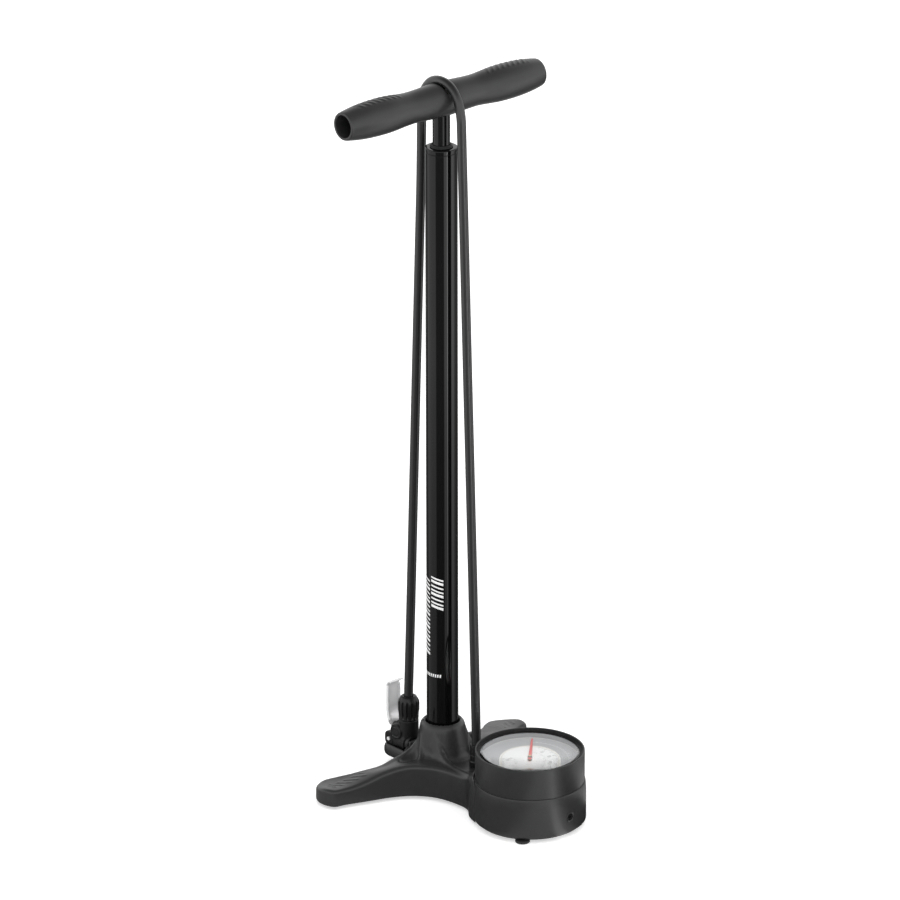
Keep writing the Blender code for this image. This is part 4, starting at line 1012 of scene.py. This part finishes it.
def chuck_nut():
    """A fluted nut, narrow at its foot, with a rolled rim round the hose."""
    foot, top = NUT_FOOT, high("chuck_nut").z

    def flutes(angle, r, h):
        if r < 0.0078:
            return 0.0
        ends = smoothstep(np.array(h), foot + 0.0015, foot + 0.0035) * smoothstep(
            np.array(-h), -(top - 0.003), -(top - 0.0062))
        return -0.0015 * float(ends) * max(0.0, math.cos(13 * angle)) ** 0.8

    heights = [top - 0.007 - k * 0.0013 for k in range(1, 6)]
    turned("chuck_nut_fluted", [
        (0.0046, top - 0.0004, 0.0001), (0.006, top, 0.0003), (0.0074, top - 0.0008, 0.0005),
        (0.0095, top - 0.0046, 0.0006), (0.0099, top - 0.007, 0.0004),
        *[(0.0099, h, 0) for h in heights], (0.0093, foot + 0.0062, 0.0006),
        (0.0092, foot + 0.0045, 0), (0.0092, foot + 0.003, 0), (0.0092, foot + 0.0012, 0),
        (0.009, foot, 0.0004), (0.0064, foot, 0.0002), (0.0064, 0.057, 0), (0.0046, 0.059, 0),
    ], (0, NUT_Y, 0), "satin_plastic", node="chuck_nut", steps=208, ripple=flutes)


def chuck_head():
    """The chuck's body: a barrel, the hose's boss, round side caps and two ears."""
    middle_z = middle("lever_pin").z
    pin_y = middle("lever_pin").y
    field = Field((-0.0125, 0.087, 0.012), (0.0125, 0.1204, 0.056), 0.0005)
    x, y, z = field.x, field.y, field.z
    out = np.abs(x)
    axis = np.hypot(x, z - middle_z)
    solid = both(axis - 0.0104, np.abs(y - 0.1004) - 0.0075, 0.001)
    solid = smaller(solid, both(axis - 0.0074, np.abs(y - 0.095) - 0.005, 0.0004), 0.0004)
    stem = np.hypot(x, y - NUT_Y)
    solid = smaller(solid, both(stem - 0.0092, np.abs(z - 0.038) - 0.0094, 0.0006), 0.002)
    solid = np.minimum(solid, both(stem - 0.006, np.abs(z - 0.047) - 0.008, 0.0004))
    dome = np.sqrt(x**2 + (y - 0.1058) ** 2 + (z - 0.0336) ** 2) - 0.0107
    solid = smaller(solid, dome, 0.0016)
    side = np.hypot(y - 0.103, z - 0.0352)
    cap = both(side - 0.0072, out - 0.0112, 0.001)
    cap = without(cap, both(np.abs(side - 0.0048) - 0.0006, 0.0106 - out, 0.0002))
    solid = smaller(solid, cap, 0.0008)
    ear = np.hypot(np.maximum(np.abs(y - 0.1112) - 0.0036, 0),
                   np.maximum(np.abs(z - middle_z - 0.0004) - 0.002, 0)) - 0.0048
    ear = both(ear, np.abs(out - 0.0072) - 0.0026, 0.0008)
    solid = smaller(solid, ear, 0.0015)
    # Room for the lever's cam, the plunger, the pin and the air.
    solid = without(solid, out - 0.0047, 0.1079 - y)
    solid = without(solid, axis - 0.0063, y - 0.1102)
    solid = without(solid, np.hypot(y - pin_y, z - middle_z) - 0.002)
    solid = without(solid, stem - 0.002, middle_z - z)
    mesh = field.skin("chuck_head", solid)
    add("chuck_head", mesh, "satin_plastic", "base", "chuck_body", sharp=60.0, calm=2)


# The lever's plate from its cam up to its curled top, as (y, z) from the pin.
LEVER_SIDE = mm([
    (0, 4), (0.8, 9), (2.4, 15), (4.2, 20.5), (5.1, 26), (5.2, 32), (5.2, 49), (4.7, 52.2),
    (3, 54.3), (-0.4, 55.3),
])


def chuck_lever():
    """A bent plate with turned-in sides and a curled top, its cam round the pin."""
    pin = middle("lever_pin")
    field = Field((-0.009, pin.y - 0.007, pin.z - 0.006),
                  (0.009, pin.y + 0.0074, pin.z + 0.058), 0.0004)
    x, y, z = field.x, field.y - pin.y, field.z - pin.z
    out = np.abs(x)
    line = smooth_through([(0.0, *p) for p in LEVER_SIDE], 4)
    plate = along([(0.0, p.y, p.z, 0.0007) for p in line], 0 * x, y, z)
    width = 0.0042 + 0.0034 * smoothstep(z, 0.0092, 0.015)
    plate = both(plate, out - width, 0.0003)
    edge = [(0.0, p.y - 0.0011, p.z, 0.0013) for p in line if 0.0165 < p.z < 0.05]
    rail = both(along(edge, 0 * x, y, z), np.abs(out - 0.007) - 0.0006, 0.0003)
    solid = smaller(plate, rail, 0.0006)
    cam = both(np.hypot(y, z) - 0.0052, out - 0.0042, 0.0005)
    solid = smaller(solid, cam, 0.0012)
    solid = np.maximum(solid, -0.0041 - z)       # a flat, which frees the plunger when it is down
    solid = without(solid, np.hypot(y, z) - 0.0019)
    mesh = field.skin("lever_plate", solid)
    add("lever_plate", mesh, "polished_metal", "lever", "chuck_lever", sharp=60.0, calm=3)
    turned("lever_pin_round", [
        (0, 0.0106, 0), (0.0018, 0.0106, 0.0004), (0.0018, -0.0106, 0.0004), (0, -0.0106, 0),
    ], pin, "polished_metal", node="lever_pin", axis="X", steps=40, closed=False)


def chuck():
    chuck_head()
    remoulded("chuck_dock", "dock_tray", "moulded_composite", "base", 0.0005, 8)
    refined("chuck_mouth_ring", "chuck_mouth_collar", "satin_plastic", "base", 0.0003, 3)
    chuck_lever()
    chuck_nut()


def small_pieces():
    """Pads, screws and the cover, their CAD shapes with eased edges."""
    for node in ("left_foot_pad", "right_foot_pad"):
        refined(node, node + "_moulding", "dull_rubber", "base", 0.0003)
    for node, shift in (("gauge_pad_left", 0.001), ("gauge_pad_right", -0.003)):
        at = middle(node)
        away = (Vector((at.x, at.y, 0)) - Vector((0, GAUGE_Y, 0))).normalized() * shift
        top = high(node).z
        turned(node + "_moulding", [
            (0.0066, top, 0.0003), (0.0068, 0.0008, 0.0003), (0.006, 0, 0.0003),
            (0.002, 0, 0.0004), (0.002, 0.001, 0.0002), (0.001, top, 0),
        ], (at.x + away.x, at.y + away.y, 0), "dull_rubber", node=node, steps=48)
    refined("bottom_cover", "bottom_cover_plate", "satin_plastic", "base", 0.0002)
    for node in ("cover_screw_1", "cover_screw_2", "cover_screw_3", "dock_screw",
                 "housing_screw_left", "housing_screw_right"):
        refined(node, node + "_turned", "zinc_steel", "base", 0.00012)
    refined("handle_bolt", "handle_bolt_turned", "blackened_steel", "rod", 0.0002)


def valve_spring():
    """The check valve's spring on a welded mesh of its own; in the pump it shortens as the valve
    opens.
    """
    mesh = mesh_of("valve_spring_wire", welded("valve_spring"))
    wire = add("valve_spring_wire", mesh, "zinc_steel", "base", "valve_spring")
    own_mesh(wire)


def other_looks():
    """Better materials on the CAD nodes that stay, by the slot each one has."""
    keys = {
        "dark_composite": "moulded_composite", "gloss_black_paint": "gloss_paint",
        "black_plastic": "satin_plastic", "black_rubber": "dull_rubber",
        "plain_steel": "zinc_steel", "polished_aluminium": "polished_metal",
        "brass": "turned_brass", "guide_plastic": "natural_acetal", "dial_white": "dial_white",
        "pointer_red": "pointer_red", "clear_lens": "clear_lens_moulding",
    }
    for name, obj in frame["nodes"].items():
        obj.data.materials.clear()
        obj.data.materials.append(look(keys[SLOTS[name]]))


# ---------------------------------------------------------------- stage, lights, camera
CAMERA_AZIMUTH = -41.3786
CAMERA_PITCH = 21.2827
CAMERA_ROLL = -0.0946
CAMERA_AT = (-4.023, -4.5276, 2.6987)
LENS_MM = 291.3


def heading(azimuth, elevation):
    """The way from the object towards a viewer at that azimuth and elevation."""
    a, e = math.radians(azimuth), math.radians(elevation)
    return Vector((math.sin(a) * math.cos(e), -math.cos(a) * math.cos(e), math.sin(e)))


def camera():
    made = linked("camera", bpy.data.cameras.new("camera"))
    back = heading(CAMERA_AZIMUTH, CAMERA_PITCH)
    made.location = CAMERA_AT
    made.rotation_mode = "QUATERNION"
    facing = (-back).to_track_quat("-Z", "Y")
    roll = Matrix.Rotation(math.radians(CAMERA_ROLL), 3, "Z").to_quaternion()
    made.rotation_quaternion = facing @ roll
    made.data.lens = LENS_MM
    made.data.sensor_width = 36.0
    made.data.clip_start, made.data.clip_end = 0.1, 60.0
    bpy.context.scene.camera = made


# What the gloss sees below the pump, as (degrees to the right of the camera, brightness): painted
# reflections from a glowing disc, dim slices for dark reflections and bright slices for highlight
# lines.
PAINTED_REFLECTION_GLOW = [
    (-180, 0.6), (-150, 0.6), (-140, 0.14), (-120, 0.14), (-112, 0.8), (-44, 0.8), (-38, 0.18),
    (14, 0.18), (20, 1.15), (38, 1.2), (39, 4.0), (43, 4.0), (44, 1.2), (47, 1.1), (51, 0.02),
    (68, 0.02), (74, 1.5), (88, 1.3), (104, 0.45), (120, 0.14), (140, 0.14), (150, 0.6),
    (180, 0.6),
]


def reflected_panels():
    """A disc just over the floor that only reflections see, glowing in slices round the pump to
    paint reflections.
    """
    turns, glows = zip(*PAINTED_REFLECTION_GLOW)
    shape = bmesh.new()
    glow = shape.verts.layers.float.new("glow")
    rings = []
    for radius, gain in ((0.03, 0.3), (0.2, 0.45), (0.64, 0.65), (1.3, 1.0), (5.0, 1.1)):
        ring = []
        for i in range(720):
            turn = -180 + i / 2
            angle = math.radians(CAMERA_AZIMUTH - 90 + turn)
            v = shape.verts.new((radius * math.cos(angle), BARREL_Y + radius * math.sin(angle), 0))
            v[glow] = gain * float(np.interp(turn, turns, glows))
            ring.append(v)
        rings.append(ring)
    loft(shape, rings[::-1])
    mesh = mesh_of("reflected_panels", shape, turn_out=False)
    made, tree, _ = fresh("reflected_panels")
    tree.nodes.clear()
    value = node_of(tree, "ShaderNodeAttribute", attribute_name="glow")
    light = node_of(tree, "ShaderNodeEmission")
    out = node_of(tree, "ShaderNodeOutputMaterial")
    tree.links.new(value.outputs["Fac"], light.inputs["Strength"])
    tree.links.new(light.outputs["Emission"], out.inputs["Surface"])
    mesh.materials.append(made)
    disc = linked("reflected_panels", mesh)
    disc.location.z = -0.0001
    disc.visible_camera = disc.visible_diffuse = disc.visible_shadow = False
    disc.visible_transmission = False


def studio_world():
    """A soft surround, bright round the horizon and dim overhead."""
    world = bpy.data.worlds.new("studio")
    bpy.context.scene.world = world
    world.use_nodes = True
    tree = world.node_tree
    where = node_of(tree, "ShaderNodeTexCoord")
    parts = node_of(tree, "ShaderNodeSeparateXYZ")
    tree.links.new(where.outputs["Generated"], parts.inputs["Vector"])
    light = spread(tree, parts.outputs["Z"], 0.95, 0.1, 0.42, 0.85)
    tree.links.new(light, tree.nodes["Background"].inputs["Strength"])
    tree.nodes["Background"].inputs["Color"].default_value = (1, 1, 1, 1)


def stage():
    mesh = bpy.data.meshes.new("studio_floor")
    mesh.from_pydata([(-12, -12, 0), (12, -12, 0), (12, 12, 0), (-12, 12, 0)], [], [(0, 1, 2, 3)])
    floor = linked("studio_floor", mesh)
    floor.location.z = -0.0003
    pale = look("pale_floor")
    shader = pale.node_tree.nodes["Principled BSDF"]
    shader.inputs["Emission Color"].default_value = (1, 1, 1, 1)
    shader.inputs["Emission Strength"].default_value = 0.5
    mesh.materials.append(pale)
    # a glowing disc seen only in gloss: painted reflections and painted highlight lines
    reflected_panels()
    studio_world()
    data = bpy.data.lights.new("broad_top_light", "SUN")
    data.energy = 2.3
    data.angle = math.radians(80)
    top = linked("broad_top_light", data)
    top.rotation_mode = "QUATERNION"
    top.rotation_quaternion = (-heading(CAMERA_AZIMUTH + 15, 68)).to_track_quat("-Z", "Y")
    top.visible_glossy = False
    bpy.context.scene.view_settings.view_transform = "Standard"


camera()
tube, line, length = hose()
hose_fitting()
base_moulding()
barrel()
barrel_print()
handle()
gauge_shell()
dial()
needle()
chuck()
small_pieces()
valve_spring()
other_looks()
stage()
